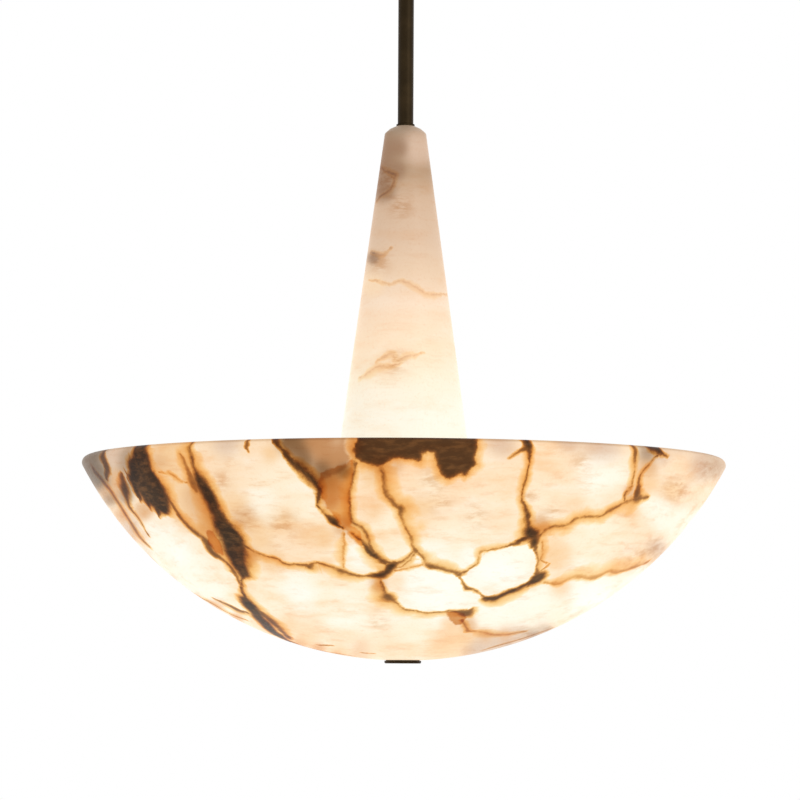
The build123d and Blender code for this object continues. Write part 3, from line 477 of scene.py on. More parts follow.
bowl_veins = {
    "left wedge": (UMBER, 10, 3, [
        (136, 439, 11), (138, 450, 12), (142, 462, 16), (144, 473, 20), (145, 481, 25), (151, 490, 24),
        (158, 501, 15), (165, 512, 3)]),
    "wedge's first feather": (UMBER, 4, 3, [
        (134, 481, 9), (137, 490, 7), (140, 501, 1)]),
    "wedge's second feather": (UMBER, 5, 3, [
        (143, 491, 8), (147, 500, 6), (151, 510, 1)]),
    "wedge's third feather": (UMBER, 6, 3, [
        (153, 500, 7), (157, 508, 5), (160, 517, 1)]),
    "wedge tail": (BROWN, 4, 4, [
        (122, 474, 3), (124, 486, 6), (127, 499, 4), (129, 506, 2.4), (139, 519, 2), (148, 535, 1.2)]),
    "far left": (RUST, 5, 6, [
        (95, 472, 3), (106, 485, 3), (114, 496, 2.4), (128, 518, 2.4), (139, 536, 3), (149, 546, 2)]),
    "far left blotch": (BROWN, 3, 3, [
        (101, 452, 3), (104, 460, 5), (107, 468, 4), (106, 478, 2)]),
    # Painted shade: a thin dark line along the bowl's lower left outline, where it is seen edge on.
    "painted shade on the lower left outline": (RUST, 8, 3, [
        (150, 556, 1.6), (172, 578, 1.8), (196, 595, 1.8), (213, 604, 2), (228, 613, 1.6), (246, 620, 1.6)]),
    "great vein": (UMBER, 7, 12, [
        (188.5, 441, 2), (191, 456, 3), (196, 472, 5), (202, 484, 10), (209, 496, 11), (216, 511, 10), (222, 524, 12),
        (231, 536, 19), (234, 547, 18), (238, 562, 14), (242, 574, 7), (241, 582, 2.4)]),
    "great vein's foot": (UMBER, 7, 3, [
        (241, 582, 2.4), (243, 593, 2.4), (248, 603, 7), (255, 612, 5.5), (265, 624, 4.5), (277, 635, 4.5),
        (290, 642, 2)]),
    "great vein's lower strand": (BROWN, 6, 3, [
        (256, 609, 3), (268, 618, 3.4), (280, 629, 3), (290, 639, 2)]),
    "great vein's tail": (BROWN, 6, 3, [
        (282, 638, 3), (300, 645, 2), (318, 650, 1.8), (334, 653, 1.6), (352, 656, 1.4)]),
    "left companion": (BROWN, 8, 2, [
        (166.5, 496, 2), (175, 509, 2.4), (185.6, 524, 2.8), (197, 534, 3), (206, 541, 4.6), (212, 552, 5),
        (221, 558, 4.6), (230, 566, 3), (236, 575, 4), (240, 584, 2)]),
    "faint cross": (AMBER, 3, 3, [
        (159, 472, 1.2), (171, 474, 1.2), (181, 481, 1.4), (190, 483, 1.4)]),
    "amber streak": (RUST, 5, 7, [
        (181, 455, 3), (186, 466, 4), (191, 480, 6), (196, 490, 4)]),
    "bottom left": (BROWN, 2, 9, [
        (213, 598, 1.6), (227, 604.5, 2.4), (238, 610, 2.6), (247, 612.5, 2)]),
    "left branch": (BROWN, 2, 6, [
        (236, 541, 6), (248, 548, 3), (263, 555, 1), (275, 558, 0.8), (285, 563, 1), (297, 564.5, 1.8),
        (307, 565, 2.4), (310, 566, 4), (316, 562, 2), (325, 565, 2), (334, 568, 3), (340.5, 571, 4.4), (348, 573, 3),
        (359, 575.5, 2.4), (374, 576, 3.4)]),
    "middle node": (UMBER, 4, 4, [
        (375, 576, 5), (381, 575.5, 7), (386, 572, 6), (391, 566.5, 8), (397, 563, 3)]),
    "rim spur": (BROWN, 3, 3, [
        (246.4, 438, 3), (246.4, 446, 3), (248.6, 452, 1.6)]),
    "slanting vein": (UMBER, 5, 1.5, [
        (272, 441, 4), (281, 449, 5), (290, 460, 5), (300, 468, 8), (311, 480, 10), (317.6, 488, 7), (319, 497, 4),
        (317.6, 505, 1.8), (327, 516, 2.6), (334, 522, 6), (342, 528, 3)]),
    "slanting vein's end": (UMBER, 7, 2, [
        (351, 533, 2.4), (363.5, 543, 4), (370, 552, 5), (377, 557, 7), (385, 562, 6)]),
    "patch's left fringe": (BROWN, 3, 12, [
        (356, 450, 4), (362, 456, 4), (370, 459, 4), (378, 459, 4), (386, 455, 4)]),
    "egg, left": (BROWN, 4, 8, [
        (356, 462, 3), (353, 480, 1.8), (350, 494, 1.4), (351, 510, 1.8), (353, 522, 2.4), (362, 528, 2.4),
        (368, 537, 2.4), (371, 549, 3), (379, 557, 3), (388, 562, 3), (397, 563, 2.4), (406, 559, 1.8),
        (412.5, 551, 2)]),
    "egg, right": (BROWN, 11, 5, [
        (374, 459, 6), (380, 467, 4), (383, 480, 2.4), (385, 494, 2.6), (389.5, 499, 3), (396, 506, 4), (401, 509, 6),
        (400, 517, 2), (406, 528, 1.6), (411, 540, 1.8), (413, 549, 3.4), (415, 551, 4)]),
    "middle thread": (BROWN, 11, 2, [
        (415, 551, 3), (423, 557, 1.8), (426, 563, 2), (431, 565.5, 4.4), (443, 569, 2.6), (452, 572, 2.4),
        (460, 575, 4)]),
    "white cell's top": (BROWN, 4, 1.5, [
        (460, 575, 3), (471, 568, 1.2), (478, 562, 1.2), (481, 552.5, 1.2), (489, 550, 1.2), (504, 547, 1.4),
        (513, 544, 3)]),
    "descending thread": (BROWN, 2, 2, [
        (460, 575, 3), (463, 583, 1.8), (466, 588, 2.6), (474, 590, 2), (481, 594, 2), (485, 598, 4)]),
    "white cell's keel": (UMBER, 1.5, 10, [
        (485, 598, 4), (491, 598.5, 5), (497, 598, 4.4), (509, 592, 4), (518, 588, 4), (529, 582.5, 3.4),
        (536, 580, 7), (539, 577, 8)]),
    "white cell's right": (BROWN, 1.5, 9, [
        (539, 577, 8), (537, 570, 3), (538, 562, 1.6), (537, 556, 1.6), (534, 546, 4)]),
    "amber pair, upper": (RUST, 3, 3, [
        (396, 568, 1.6), (405, 565, 1.6), (412, 557, 1.6), (414, 551, 1.6)]),
    "amber pair, lower": (AMBER, 4, 4, [
        (394, 571, 1.4), (406, 569, 1.4), (417, 566, 1.4), (426, 563, 1.6)]),
    "white cell": (AMBER, 2, 6, [
        (343.6, 533, 1.4), (344, 546, 1.2), (343, 557, 1.2), (343, 565, 1.6), (343.6, 569, 2)]),
    "long lower thread": (BROWN, 2, 8, [
        (380, 577, 5), (382, 583, 2.4), (385, 592, 4), (388, 597, 8), (397, 603, 2), (405, 609, 1.6),
        (417, 611.5, 1.4), (428, 613, 1.4), (443, 612, 1.6), (449, 611, 2), (458.5, 611.5, 3.4), (468, 613, 6),
        (472, 609, 3)]),
    "triangle's foot": (RUST, 6, 5, [
        (462, 620, 3), (465, 626, 2.4), (468, 631, 3)]),
    "triangle's thread": (AMBER, 5, 6, [
        (468, 631, 1.6), (481, 632, 1.4), (494, 634.5, 1.6), (510, 634, 1.6), (526, 631, 1.2)]),
    "right upright": (UMBER, 3, 4, [
        (528, 439, 8), (528, 449, 6), (529, 456, 3), (528, 468, 1.2), (526, 481, 1), (522, 492, 1.8), (522, 499, 2),
        (526, 509, 3.4), (527, 518, 5), (528.6, 527, 7), (530.5, 533, 14), (535, 537, 9), (534, 546, 4)]),
    "upright's spurs": (BROWN, 3, 3, [
        (526, 449, 5), (521, 451, 3.6), (516, 453.5, 2), (510, 458, 1)]),
    "node's spur": (UMBER, 5, 2, [
        (531, 536, 6), (522, 540, 4), (516, 543.5, 4), (512, 544.5, 2)]),
    "right thread": (BROWN, 6, 8, [
        (534, 538, 6), (540, 536, 3), (544, 531, 1.8), (550, 527, 1.6), (559, 526, 1.4), (567, 525, 1.4),
        (576, 519, 1.4), (585, 516.5, 1.2), (600, 516.5, 1.4), (608, 512, 2.4), (617, 507, 2.6), (625, 502, 2.4),
        (632, 500, 4), (638, 499, 6), (648, 497.5, 2)]),
    "right rim": (UMBER, 3, 4, [
        (652, 447, 8), (660, 451, 8), (668, 456.5, 2)]),
    "right fork": (BROWN, 4, 3, [
        (658, 456, 2.4), (652, 461, 1.6), (647, 467, 1.2), (642, 472, 1.4), (639, 478, 2), (638, 487, 3.4),
        (636, 496, 6)]),
    "right fork, left": (BROWN, 3, 5, [
        (636, 447, 4), (635, 456, 2.4), (635, 468, 1.6), (633, 478, 1.4), (632, 487, 1.4), (626, 493, 1.8),
        (625, 500, 2)]),
    "warm edge": (AMBER, 10, 6, [
        (541, 542, 1.6), (543, 550, 1.6), (540, 560, 1.4)]),
    "small triangle": (AMBER, 2, 2, [
        (540, 560, 1.2), (549, 564, 1.4), (541, 571, 1.4)]),
    "faint right": (AMBER, 12, 3, [
        (544, 582.5, 2.6), (559, 584, 2), (567, 580, 2), (576, 577, 2), (588, 578, 2.4), (597, 577, 2.4),
        (608, 572, 2), (617, 572, 2), (632, 568, 1.8), (648, 562, 1.4)]),
    "bottom dashes": (RUST, 3, 3, [
        (318, 645, 1.2), (333, 645.5, 1.2)]),
    "bottom streak": (RUST, 4, 4, [
        (484, 650, 1), (500, 645, 1.6), (518, 640, 1.4), (536, 634, 1.6), (552, 628, 1)]),
    "bottom dash": (RUST, 3, 3, [
        (363, 653, 1.4), (374, 653.5, 1.4)]),
}

print("bowl veins:", len(bowl_veins))

# %% [markdown]
# ## Patches
#
# Where veins run together they leave whole patches. A patch is drawn as an outline in the picture. A stain is opaque
# stone, an amber lets some light through, and a shade is a soft grey stain. The number before the outline says how
# strong the patch is.

# %% The bowl's patches
bowl_stains = {
    "rim patch": (1.0, [
        (356, 425), (356, 458), (367, 463), (377, 466), (386, 463), (390, 459), (400, 457), (406, 459), (412, 459),
        (420, 461), (422, 453), (428, 451), (435, 453), (437, 461), (442, 474), (449, 479), (457, 474), (461.5, 473),
        (466, 476), (469, 470), (475, 465), (474, 456), (477, 448), (478, 425)]),
}
bowl_ambers = {
    "brown cell": (0.4, [
        (320, 472), (336, 467), (353, 459), (353, 478), (350, 494), (351, 510), (353, 523), (347, 531), (337, 521),
        (327, 508), (321, 496), (317, 486)]),
    "brown cell's foot": (0.25, [
        (342, 524), (354, 526), (362, 533), (361, 540), (366, 550), (357, 544), (349, 537)]),
    "amber triangle": (0.6, [
        (446, 612), (456, 611), (465, 613), (466, 618), (461, 625), (455, 625), (449, 619)]),
    "glow in the great vein": (0.5, [
        (206, 530), (213, 531), (221, 543), (224, 555), (216, 553), (208, 544)]),
}
bowl_shades = {
    "olive cell": (0.6, [
        (274, 425), (349, 425), (346, 440), (345, 449), (351, 458), (348, 468), (337, 475), (326, 479), (318, 486),
        (312, 480), (301, 468), (292, 460), (283, 449)]),
}

print("patches:", len(bowl_stains) + len(bowl_ambers) + len(bowl_shades))

# %% [markdown]
# ## Soft tones and clouds
#
# Between the veins the stone isn't one colour, and much of that is painted light: it is white where a lamp is close
# behind it, and honey, rose or grey where it is thick or dull, with painted shade towards the rim, the ends and the
# lower outline, where less light comes through. A short list of tones is enough. Each is laid as soft round spots,
# given as the place in
# the picture and a reach, all in pixels, and the spots run into each other. They were matched to the picture: first
# by its colour at single points, then where a render still differed most from it. Clouds are spots
# of the same kind, where the stone is faintly mottled.

# %% The bowl's tones and clouds
tones = {"white": paint(255, 254, 246), "ivory": paint(254, 248, 232), "cream": paint(253, 237, 210),
         "peach": paint(251, 222, 187), "honey": paint(244, 203, 152), "tan": paint(222, 172, 120),
         "rose": paint(216, 186, 162), "grey": paint(206, 176, 146), "mauve": paint(160, 132, 108),
         "olive": paint(140, 106, 66), "plum": paint(98, 79, 62),
         "amber": paint(226, 168, 104), "dusk": paint(158, 124, 98)}

# Painted light among the tones: the white and ivory spots are the glow where a lamp is close behind the stone, and
# most of the plum, grey, mauve and amber spots, and the rose spots along the rim and the lower outline, are painted
# shade towards the rim, the two ends and the lower outline.
bowl_tones = {
    "white": [
        (470, 553, 6), (436, 590, 20), (500, 572, 16), (592, 606, 18), (175, 552, 9), (360, 556, 7), (300, 596, 12),
        (160, 530, 6)],
    "ivory": [
        (150, 545, 8), (165, 541, 12), (190, 574, 12), (520, 554, 10), (500, 616, 12), (540, 602, 14), (600, 478, 14),
        (660, 512, 10), (690, 520, 9), (640, 588, 12), (215, 590, 9), (345, 610, 12), (262, 498, 8)],
    "cream": [
        (162, 560, 8), (430, 487, 8), (234, 596, 6), (262, 488, 14), (288, 476, 11), (305, 508, 10), (262, 602, 12),
        (330, 590, 18), (388, 535, 11), (385, 520, 8), (470, 533, 16), (418, 634, 12), (600, 542, 14), (285, 606, 12),
        (560, 618, 10), (420, 640, 10), (270, 512, 7)],
    "peach": [
        (162, 525, 5), (144, 539, 5), (396, 581, 6), (144, 553, 6), (213, 460, 10), (242, 470, 15), (303, 546, 10),
        (310, 625, 9), (368, 505, 9), (405, 478, 11), (460, 500, 14), (490, 468, 14), (502, 520, 9), (560, 470, 12),
        (574, 500, 10), (612, 500, 8), (678, 462, 11), (640, 530, 10), (620, 560, 8), (365, 652, 8), (390, 650, 9),
        (400, 654, 8), (345, 640, 9), (690, 500, 8), (262, 626, 6), (285, 536, 8)],
    "honey": [
        (648, 482, 6), (376, 511, 7), (322, 538, 7), (466, 638, 6), (450, 623, 6), (288, 624, 8), (342, 651, 6),
        (412, 651, 6), (306, 538, 6), (324, 567, 5), (630, 511, 5), (270, 455, 5), (306, 637, 6), (183, 518, 9),
        (176, 486, 10), (168, 474, 9), (168, 450, 8), (234, 500, 9), (262, 538, 8), (372, 474, 9), (425, 500, 11),
        (672, 492, 8), (556, 556, 9), (456, 643, 10), (272, 560, 7), (240, 560, 6), (560, 588, 7), (440, 648, 9),
        (430, 654, 8), (650, 556, 6), (284, 524, 8), (250, 526, 7)],
    "tan": [
        (468, 652, 4), (144, 538, 4), (486, 637, 5), (648, 468, 6), (378, 470, 6), (396, 467, 5), (379, 583, 5),
        (468, 625, 5), (505, 636, 6), (541, 524, 5), (144, 511, 5), (630, 492, 4), (342, 526, 5), (350, 438, 5),
        (353, 448, 5), (342, 456, 6), (360, 651, 6), (311, 440, 6), (320, 446, 7), (326, 456, 6), (111, 496, 5),
        (105, 487, 4), (160, 462, 6), (198, 508, 9), (208, 524, 7), (192, 492, 7), (250, 555, 5), (244, 518, 7),
        (118, 477, 5), (116, 484, 4), (334, 462, 5), (122, 516, 5), (133, 536, 4), (330, 488, 7), (328, 500, 5)],
    "amber": [
        (505, 636, 4), (268, 623, 5), (214, 607, 5), (236, 620, 4), (286, 643, 4), (300, 644, 4), (318, 650, 4),
        (338, 655, 3), (196, 598, 3), (172, 580, 3), (330, 484, 5)],
    "rose": [
        (144, 553, 5), (486, 651, 5), (664, 457, 5), (112, 456, 7), (130, 528, 5), (570, 440, 7), (602, 446, 10),
        (700, 464, 8), (514, 640, 8), (478, 652, 8), (225, 446, 8), (500, 446, 8), (680, 446, 7), (655, 550, 6),
        (500, 644, 7)],
    "grey": [(474, 652, 6), (716, 464, 8), (545, 632, 6), (498, 648, 7), (722, 458, 7), (526, 638, 6), (482, 654, 5)],
    "plum": [
        (90, 468, 6), (90, 459, 7), (98, 472, 7), (88, 466, 7), (103, 484, 5), (110, 498, 4), (95, 452, 5),
        (84, 456, 6), (92, 478, 5), (100, 482, 4)],
    "olive": [
        (324, 467, 6), (327, 482, 6), (342, 470, 5), (125, 487, 4), (290, 442, 7), (300, 450, 7), (304, 462, 5),
        (284, 438, 5)],
    "mauve": [
        (126, 457, 6), (127, 469, 6), (126, 496, 4), (648, 455, 5), (508, 645, 3), (535, 637, 4), (548, 631, 3)],
}
bowl_clouds = [
    (676, 489, 11), (710, 469, 9), (655, 548, 9), (636, 560, 9), (553, 513, 8), (530, 494, 8), (581, 463, 8),
    (245, 518, 9), (282, 526, 12), (440, 500, 10), (476, 515, 10), (430, 478, 8), (222, 480, 7), (528, 636, 11),
    (380, 620, 8)]

print("soft spots of tone:", sum(len(spots) for spots in bowl_tones.values()))

# %% [markdown]
# ## The stem's drawing
#
# The stem is calmer than the bowl: a brown loop and a dash near its head, and a few faint orange threads lower down.
# They are drawn in the same way.

# %% The stem's veins and tones
stem_veins = {
    "loop": (BROWN, 4, 2, [
        (378, 166, 1.2), (386, 171, 1.6), (391, 173, 2), (396, 175, 2.4), (394, 183, 2), (391, 188, 1.6),
        (381, 196, 1.8), (377, 201, 1.2)]),
    "short dash": (BROWN, 3, 4, [
        (371, 252, 1.6), (374, 254, 2.2), (384, 254, 1.8), (391, 248, 1.2)]),
    "cross thread": (AMBER, 2, 3, [
        (369, 280, 0.6), (380, 282, 0.8), (392, 284, 0.6), (402, 281, 0.9), (417, 288, 0.8), (427, 294, 0.9),
        (447, 295, 0.6)]),
    "orange thread": (AMBER, 3, 5, [
        (359, 379, 1.0), (366, 374, 1.2), (376, 367, 1.2), (388, 366, 1.2), (400, 363, 1.0)]),
    "orange upper thread": (AMBER, 3, 4, [
        (376, 362, 0.8), (384, 357, 1.0), (392, 353, 1.2), (397, 360, 1.0), (408, 356, 0.9), (424, 353, 0.7)]),
}
stem_tones = {
    "dusk": [
        (377, 158, 7), (382, 166, 7), (379, 184, 7), (388, 148, 6), (373, 258, 3), (396, 170, 5), (384, 190, 6),
        (400, 148, 5)],
    # Painted highlight: the rose spot at the stem's upper right is the reflection of the soft light on its shoulder.
    "rose": [(420, 148, 9)],
    "peach": [(385, 364, 6), (372, 285, 6)],
}
stem_clouds = [(385, 180, 9), (380, 262, 8), (400, 205, 10), (395, 362, 10)]

print("stem veins:", len(stem_veins))

# %% [markdown]
# ## Carrying the drawing on to the stone
#
# Each stone has an outer surface that is simple to write down: a sphere for the bowl, a cone for the stem. A line of
# sight meets it at one point. A place inside the wall belongs to the surface point straight outside it, so a vein
# goes right through the wall, as it does in real stone. The chart is a flat map of the surface, on which it is easy
# to ask whether a point is inside an outline.

# %% The two outer surfaces
NO_LENGTH = 1e-6  # metres; a length that is divided by is at least this


class BowlSurface:
    """The bowl's outer sphere. Its chart is the view from above."""

    def meet(self, rays):
        start = np.array(camera.location) - (0.0, 0.0, bowl_centre)
        along = rays / np.linalg.norm(rays, axis=1)[:, None]
        half = along @ start
        gap = np.maximum(half**2 - (start @ start - outer_curve**2), 0.0)
        return np.array(camera.location) + along * (-half - np.sqrt(gap))[:, None]

    def surface(self, places):
        return self.outward(places) * outer_curve + (0.0, 0.0, bowl_centre)

    def outward(self, places):
        arm = places - (0.0, 0.0, bowl_centre)
        return arm / np.linalg.norm(arm, axis=1)[:, None]

    def chart(self, places):
        return places[:, :2]


class StemSurface:
    """The stem's outer cone. Its chart is the surface rolled out flat."""

    def radius(self, heights):
        return np.clip(STEM_BASE_RADIUS - (heights - stem_foot) * stem_taper, STEM_CROWN_RADIUS, STEM_BASE_RADIUS)

    def meet(self, rays):
        start = np.array(camera.location)
        reach = STEM_BASE_RADIUS - (start[2] - stem_foot) * stem_taper
        a = rays[:, 0] ** 2 + rays[:, 1] ** 2 - (rays[:, 2] * stem_taper) ** 2
        b = rays[:, :2] @ start[:2] + rays[:, 2] * stem_taper * reach
        c = start[0] ** 2 + start[1] ** 2 - reach**2
        far = (-b - np.sqrt(np.maximum(b**2 - a * c, 0.0))) / a
        return start + rays * far[:, None]

    def surface(self, places):
        flat = places * (1.0, 1.0, 0.0)
        spread = np.maximum(np.linalg.norm(flat, axis=1), NO_LENGTH)
        out = flat / spread[:, None] * self.radius(places[:, 2])[:, None]
        return out + places * (0.0, 0.0, 1.0)

    def outward(self, places):
        spread = np.maximum(np.hypot(places[:, 0], places[:, 1]), NO_LENGTH)
        lean = np.stack([places[:, 0] / spread, places[:, 1] / spread, np.full(len(places), stem_taper)], axis=1)
        return lean / math.hypot(1.0, stem_taper)

    def chart(self, places):
        return np.stack([np.arctan2(places[:, 0], -places[:, 1]) * STEM_BASE_RADIUS, places[:, 2]], axis=1)


lower_middle = np.array([[400.0, 600.0]])  # pixels
print("the stone at the picture's lower middle:", BowlSurface().meet(sight_lines(lower_middle)).round(3))

# %% [markdown]
# ## Front and back
#
# The picture shows one side only. The other side gets the same drawing, carried half way round and bent a little, so
# that the stone is veined all over and no seam shows where the two meet.

# %% Half way round and back
BACK_TURN = math.radians(178.0)
BACK_BEND = 0.16  # radians that the copy is bent to either side
BEND_WAVE = 45.0  # radians for each metre of height


def half_way_round(places, stone):
    """Places on the stone, carried to its other side."""
    turn = np.arctan2(places[:, 1], places[:, 0]) + BACK_TURN + BACK_BEND * np.sin(places[:, 2] * BEND_WAVE)
    spread = np.hypot(places[:, 0], places[:, 1])
    return stone.surface(np.stack([spread * np.cos(turn), spread * np.sin(turn), places[:, 2]], axis=1))


def half_way_back(places):
    """The other way: where on the drawn side a place's drawing comes from."""
    turn = np.arctan2(places[:, 1], places[:, 0]) - BACK_TURN - BACK_BEND * np.sin(places[:, 2] * BEND_WAVE)
    spread = np.hypot(places[:, 0], places[:, 1])
    return np.stack([spread * np.cos(turn), spread * np.sin(turn), places[:, 2]], axis=1)


print("half way round from the front:", half_way_back(np.array([[0.0, -1.0, 0.0]])).round(2))

# %% [markdown]
# ## Paths on the stone
#
# A path's points are joined by a smooth curve, and every point of it is carried along its line of sight on to the
# stone. Its width in pixels becomes a width in millimetres there, which is more where the stone is seen at a slant.
# Towards a vein's ends its glow tapers off.

# %% Lay paths on the stone
CURVE_PARTS = 8  # short runs between two points of a path
PICTURE_BLUR = 1.1  # pixels that the picture's blur adds to a vein's width
THINNEST = 0.5  # pixels
LEAST_PER_PIXEL = 0.8 * MM  # of stone
MOST_PER_PIXEL = 4 * MM  # where the stone is seen at a slant, a pixel covers more of it
GLOW_TAPER = 12.0  # pixels from a vein's end over which its glow grows to its full reach
GLOW_AT_END = 0.4  # of that reach


def smooth_path(points, parts):
    """A curve through the points (Catmull-Rom), with every column of the points smoothed alike."""
    held = np.vstack([2 * points[0] - points[1], points, 2 * points[-1] - points[-2]])
    rows = []
    for first, second, third, fourth in zip(held, held[1:], held[2:], held[3:]):
        for t in np.arange(parts) / parts:
            rows.append(0.5 * (2 * second + (third - first) * t + (2 * first - 5 * second + 4 * third - fourth) * t**2
                               + (3 * second - first - 3 * third + fourth) * t**3))
    rows.append(points[-1])
    return np.array(rows)


def lay_paths(veins, stone):
    """Every vein's path on the stone, front and back: places, half widths, darkness and the glow on either hand."""
    paths = []
    for darkness, glow_left, glow_right, path in veins.values():
        drawn = smooth_path(np.array(path, dtype=float), CURVE_PARTS)
        ahead = np.gradient(drawn[:, :2], axis=0)
        aside = np.stack([ahead[:, 1], -ahead[:, 0]], axis=1) / np.linalg.norm(ahead, axis=1)[:, None]
        front = stone.meet(sight_lines(drawn[:, :2]))
        flanks = [stone.meet(sight_lines(drawn[:, :2] + aside * hand)) for hand in (-0.5, 0.5)]
        per_pixel = np.clip(np.linalg.norm(flanks[0] - flanks[1], axis=1), LEAST_PER_PIXEL, MOST_PER_PIXEL)
        half = np.maximum(drawn[:, 2] - PICTURE_BLUR, THINNEST) * per_pixel / 2
        walked = np.concatenate([[0.0], np.cumsum(np.linalg.norm(np.diff(drawn[:, :2], axis=0), axis=1))])
        share = np.clip(np.minimum(walked, walked[-1] - walked) / GLOW_TAPER, GLOW_AT_END, 1.0)
        middle, lean = (share * (glow_left + side * glow_right) / 2 * MM for side in (1, -1))
        for places in (front, half_way_round(front, stone)):
            paths.append({"places": places, "half": half, "dark": darkness, "middle": middle, "lean": lean})
    return paths


left_wedge = np.array(bowl_veins["left wedge"][-1], dtype=float)
print("points along the left wedge:", len(smooth_path(left_wedge, CURVE_PARTS)))

# %% [markdown]
# ## Layers of veins
#
# The finish has to know how far each spot is from a vein. Where two veins come close, the nearest one changes from
# corner to corner of the mesh, and a shader that blends between corners would draw false lines there. So veins that
# come close to each other go in different layers, and the finish reads each layer on its own.

# %% Share the veins out and find the nearest
LAYERS = 6
LAYER_GAP = 30 * MM
SPOTS_AT_ONCE = 4000  # keeps the table of distances small


def distances(first, second):
    """The distance from each place of one list to each of the other."""
    square = (first**2).sum(axis=1)[:, None] + (second**2).sum(axis=1) - 2 * first @ second.T
    return np.sqrt(np.maximum(square, 0.0))


def share_out(paths):
    """Puts paths that come close to each other in different layers, so that each layer's distances stay smooth."""
    layers = [[] for _ in range(LAYERS)]
    for path in paths:
        room = [min((distances(path["places"], other["places"]).min() for other in layer), default=1.0)
                for layer in layers]
        free = next((index for index, gap in enumerate(room) if gap > LAYER_GAP), int(np.argmax(room)))
        layers[free].append(path)
    return [layer for layer in layers if layer]


def nearest_in_layer(spots, outward, layer):
    """For each spot: the layer's nearest vein (offset, half width and glow) and the edge distance to each path."""
    places = np.vstack([path["places"] for path in layer])
    ahead = np.vstack([np.gradient(path["places"], axis=0) for path in layer])
    ahead /= np.linalg.norm(ahead, axis=1)[:, None]
    halves, middles, leans = (np.concatenate([path[key] for path in layer]) for key in ("half", "middle", "lean"))
    starts = np.cumsum([0] + [len(path["places"]) for path in layer[:-1]])
    last_of_path = np.zeros(len(places), dtype=bool)
    last_of_path[[start - 1 for start in starts]] = True
    offset, half, glow = np.empty_like(spots), np.empty(len(spots)), np.empty(len(spots))
    by_path = np.empty((len(spots), len(layer)))
    for begin in range(0, len(spots), SPOTS_AT_ONCE):
        part = slice(begin, begin + SPOTS_AT_ONCE)
        here = spots[part]
        edge = distances(here, places) - halves
        by_path[part] = np.minimum.reduceat(edge, starts, axis=1)
        best = edge.argmin(axis=1)
        shift, width = places[best] - here, halves[best]
        for step in (-1, 1):  # slide along the two runs that meet at the best point
            other = np.clip(best + step, 0, len(places) - 1)
            open_run = ~(last_of_path[best] if step == 1 else last_of_path[best - 1])
            run_vector = places[other] - places[best]
            length = np.maximum((run_vector**2).sum(axis=1), NO_LENGTH**2)
            t = np.clip(((here - places[best]) * run_vector).sum(axis=1) / length, 0.0, 1.0) * open_run
            slid = places[best] + run_vector * t[:, None] - here
            slid_width = halves[best] + (halves[other] - halves[best]) * t
            closer = np.linalg.norm(slid, axis=1) - slid_width < np.linalg.norm(shift, axis=1) - width
            shift[closer], width[closer] = slid[closer], slid_width[closer]
        hand = (np.cross(ahead[best], -shift) * outward[part]).sum(axis=1)
        hand /= np.maximum(np.linalg.norm(shift, axis=1), NO_LENGTH)
        offset[part], half[part], glow[part] = shift, width, middles[best] + leans[best] * hand
    return offset, half, glow, by_path


print("layers at most:", LAYERS)

# %% [markdown]
# ## Patches and soft spots on the stone
#
# For a patch, each spot of the stone gets its distance to the outline, negative inside. A soft tone is simpler: each
# spot is looked up in the picture, and feels every tone that lies near it there. A spot on the far side is first
# carried back to the drawn side, and near the outline the drawn side has the last word.

# %% Find patches and soft spots
FAR_FROM_PATCH = 0.2  # metres
OUTLINE_PARTS = 8  # points along each side of an outline
OUT_OF_VIEW = 0.4  # how far past the outline the drawing's tones fade out, as a share of a right angle's cosine
SOFTNESS = 1.3  # how much wider than its reach a soft spot spreads


def patch_depth(spots, patches, stone):
    """For each spot: how far it is outside the nearest patch (negative inside), and that patch's strength."""
    depth, strength = np.full(len(spots), FAR_FROM_PATCH), np.zeros(len(spots))
    for power, outline in patches.values():
        pixels = np.array([*outline, outline[0]], dtype=float)
        dense = np.vstack([np.linspace(a, b, OUTLINE_PARTS)[:-1] for a, b in zip(pixels, pixels[1:])])
        front = stone.meet(sight_lines(dense))
        for laid in (front, half_way_round(front, stone)):
            distance = distances(spots, laid).min(axis=1)
            x, y = stone.chart(spots).T
            inside = np.zeros(len(spots), dtype=bool)
            corners = stone.chart(laid)
            for (x0, y0), (x1, y1) in zip(corners, np.roll(corners, -1, axis=0)):
                if y0 != y1:
                    inside ^= ((y0 > y) != (y1 > y)) & (x < (x1 - x0) * (y - y0) / (y1 - y0) + x0)
            same_side = spots[:, :2] @ laid.mean(axis=0)[:2] > 0
            signed = np.where(inside & same_side, -distance, distance)
            nearer = signed < depth
            depth[nearer], strength[nearer] = signed[nearer], power
    return depth, strength


def soft_spots(spots, places, stone):
    """How strongly each spot feels a set of soft round areas in the picture, one column for each area."""
    drawn = np.array(places, dtype=float)
    felt = np.zeros((len(spots), len(drawn)))
    left_over = np.ones(len(spots))
    for turned in (spots, half_way_back(spots)):
        seen = picture_points(turned)
        towards = np.array(camera.location) - turned
        facing = (stone.outward(turned) * towards).sum(axis=1) / np.linalg.norm(towards, axis=1)
        in_view = np.clip(1.0 + facing / OUT_OF_VIEW, 0.0, 1.0) * left_over
        left_over = left_over - in_view
        for column, (across, down, reach) in enumerate(drawn):
            gap = (seen[:, 0] - across) ** 2 + (seen[:, 1] - down) ** 2
            felt[:, column] += np.exp(-gap / (SOFTNESS * reach) ** 2) * in_view
    return felt


print("soft tones on the stem:", len(stem_tones))

# %% [markdown]
# ## Writing the drawing into the mesh
#
# What was found for each corner of the mesh is stored there as attributes, under plain names, and the finish reads
# them by those names. Attributes stay with the mesh when it moves, and they go along when the model is exported.

# %% Mark the stone
TONE_GAIN = 6.0  # how far a soft tone overrides the stone's own
DARKNESS_BLEND = 1.5 * MM  # over which one vein's darkness gives way to the next one's
STAIN_EDGE = 4 * MM  # over which veins turn dark near a stain


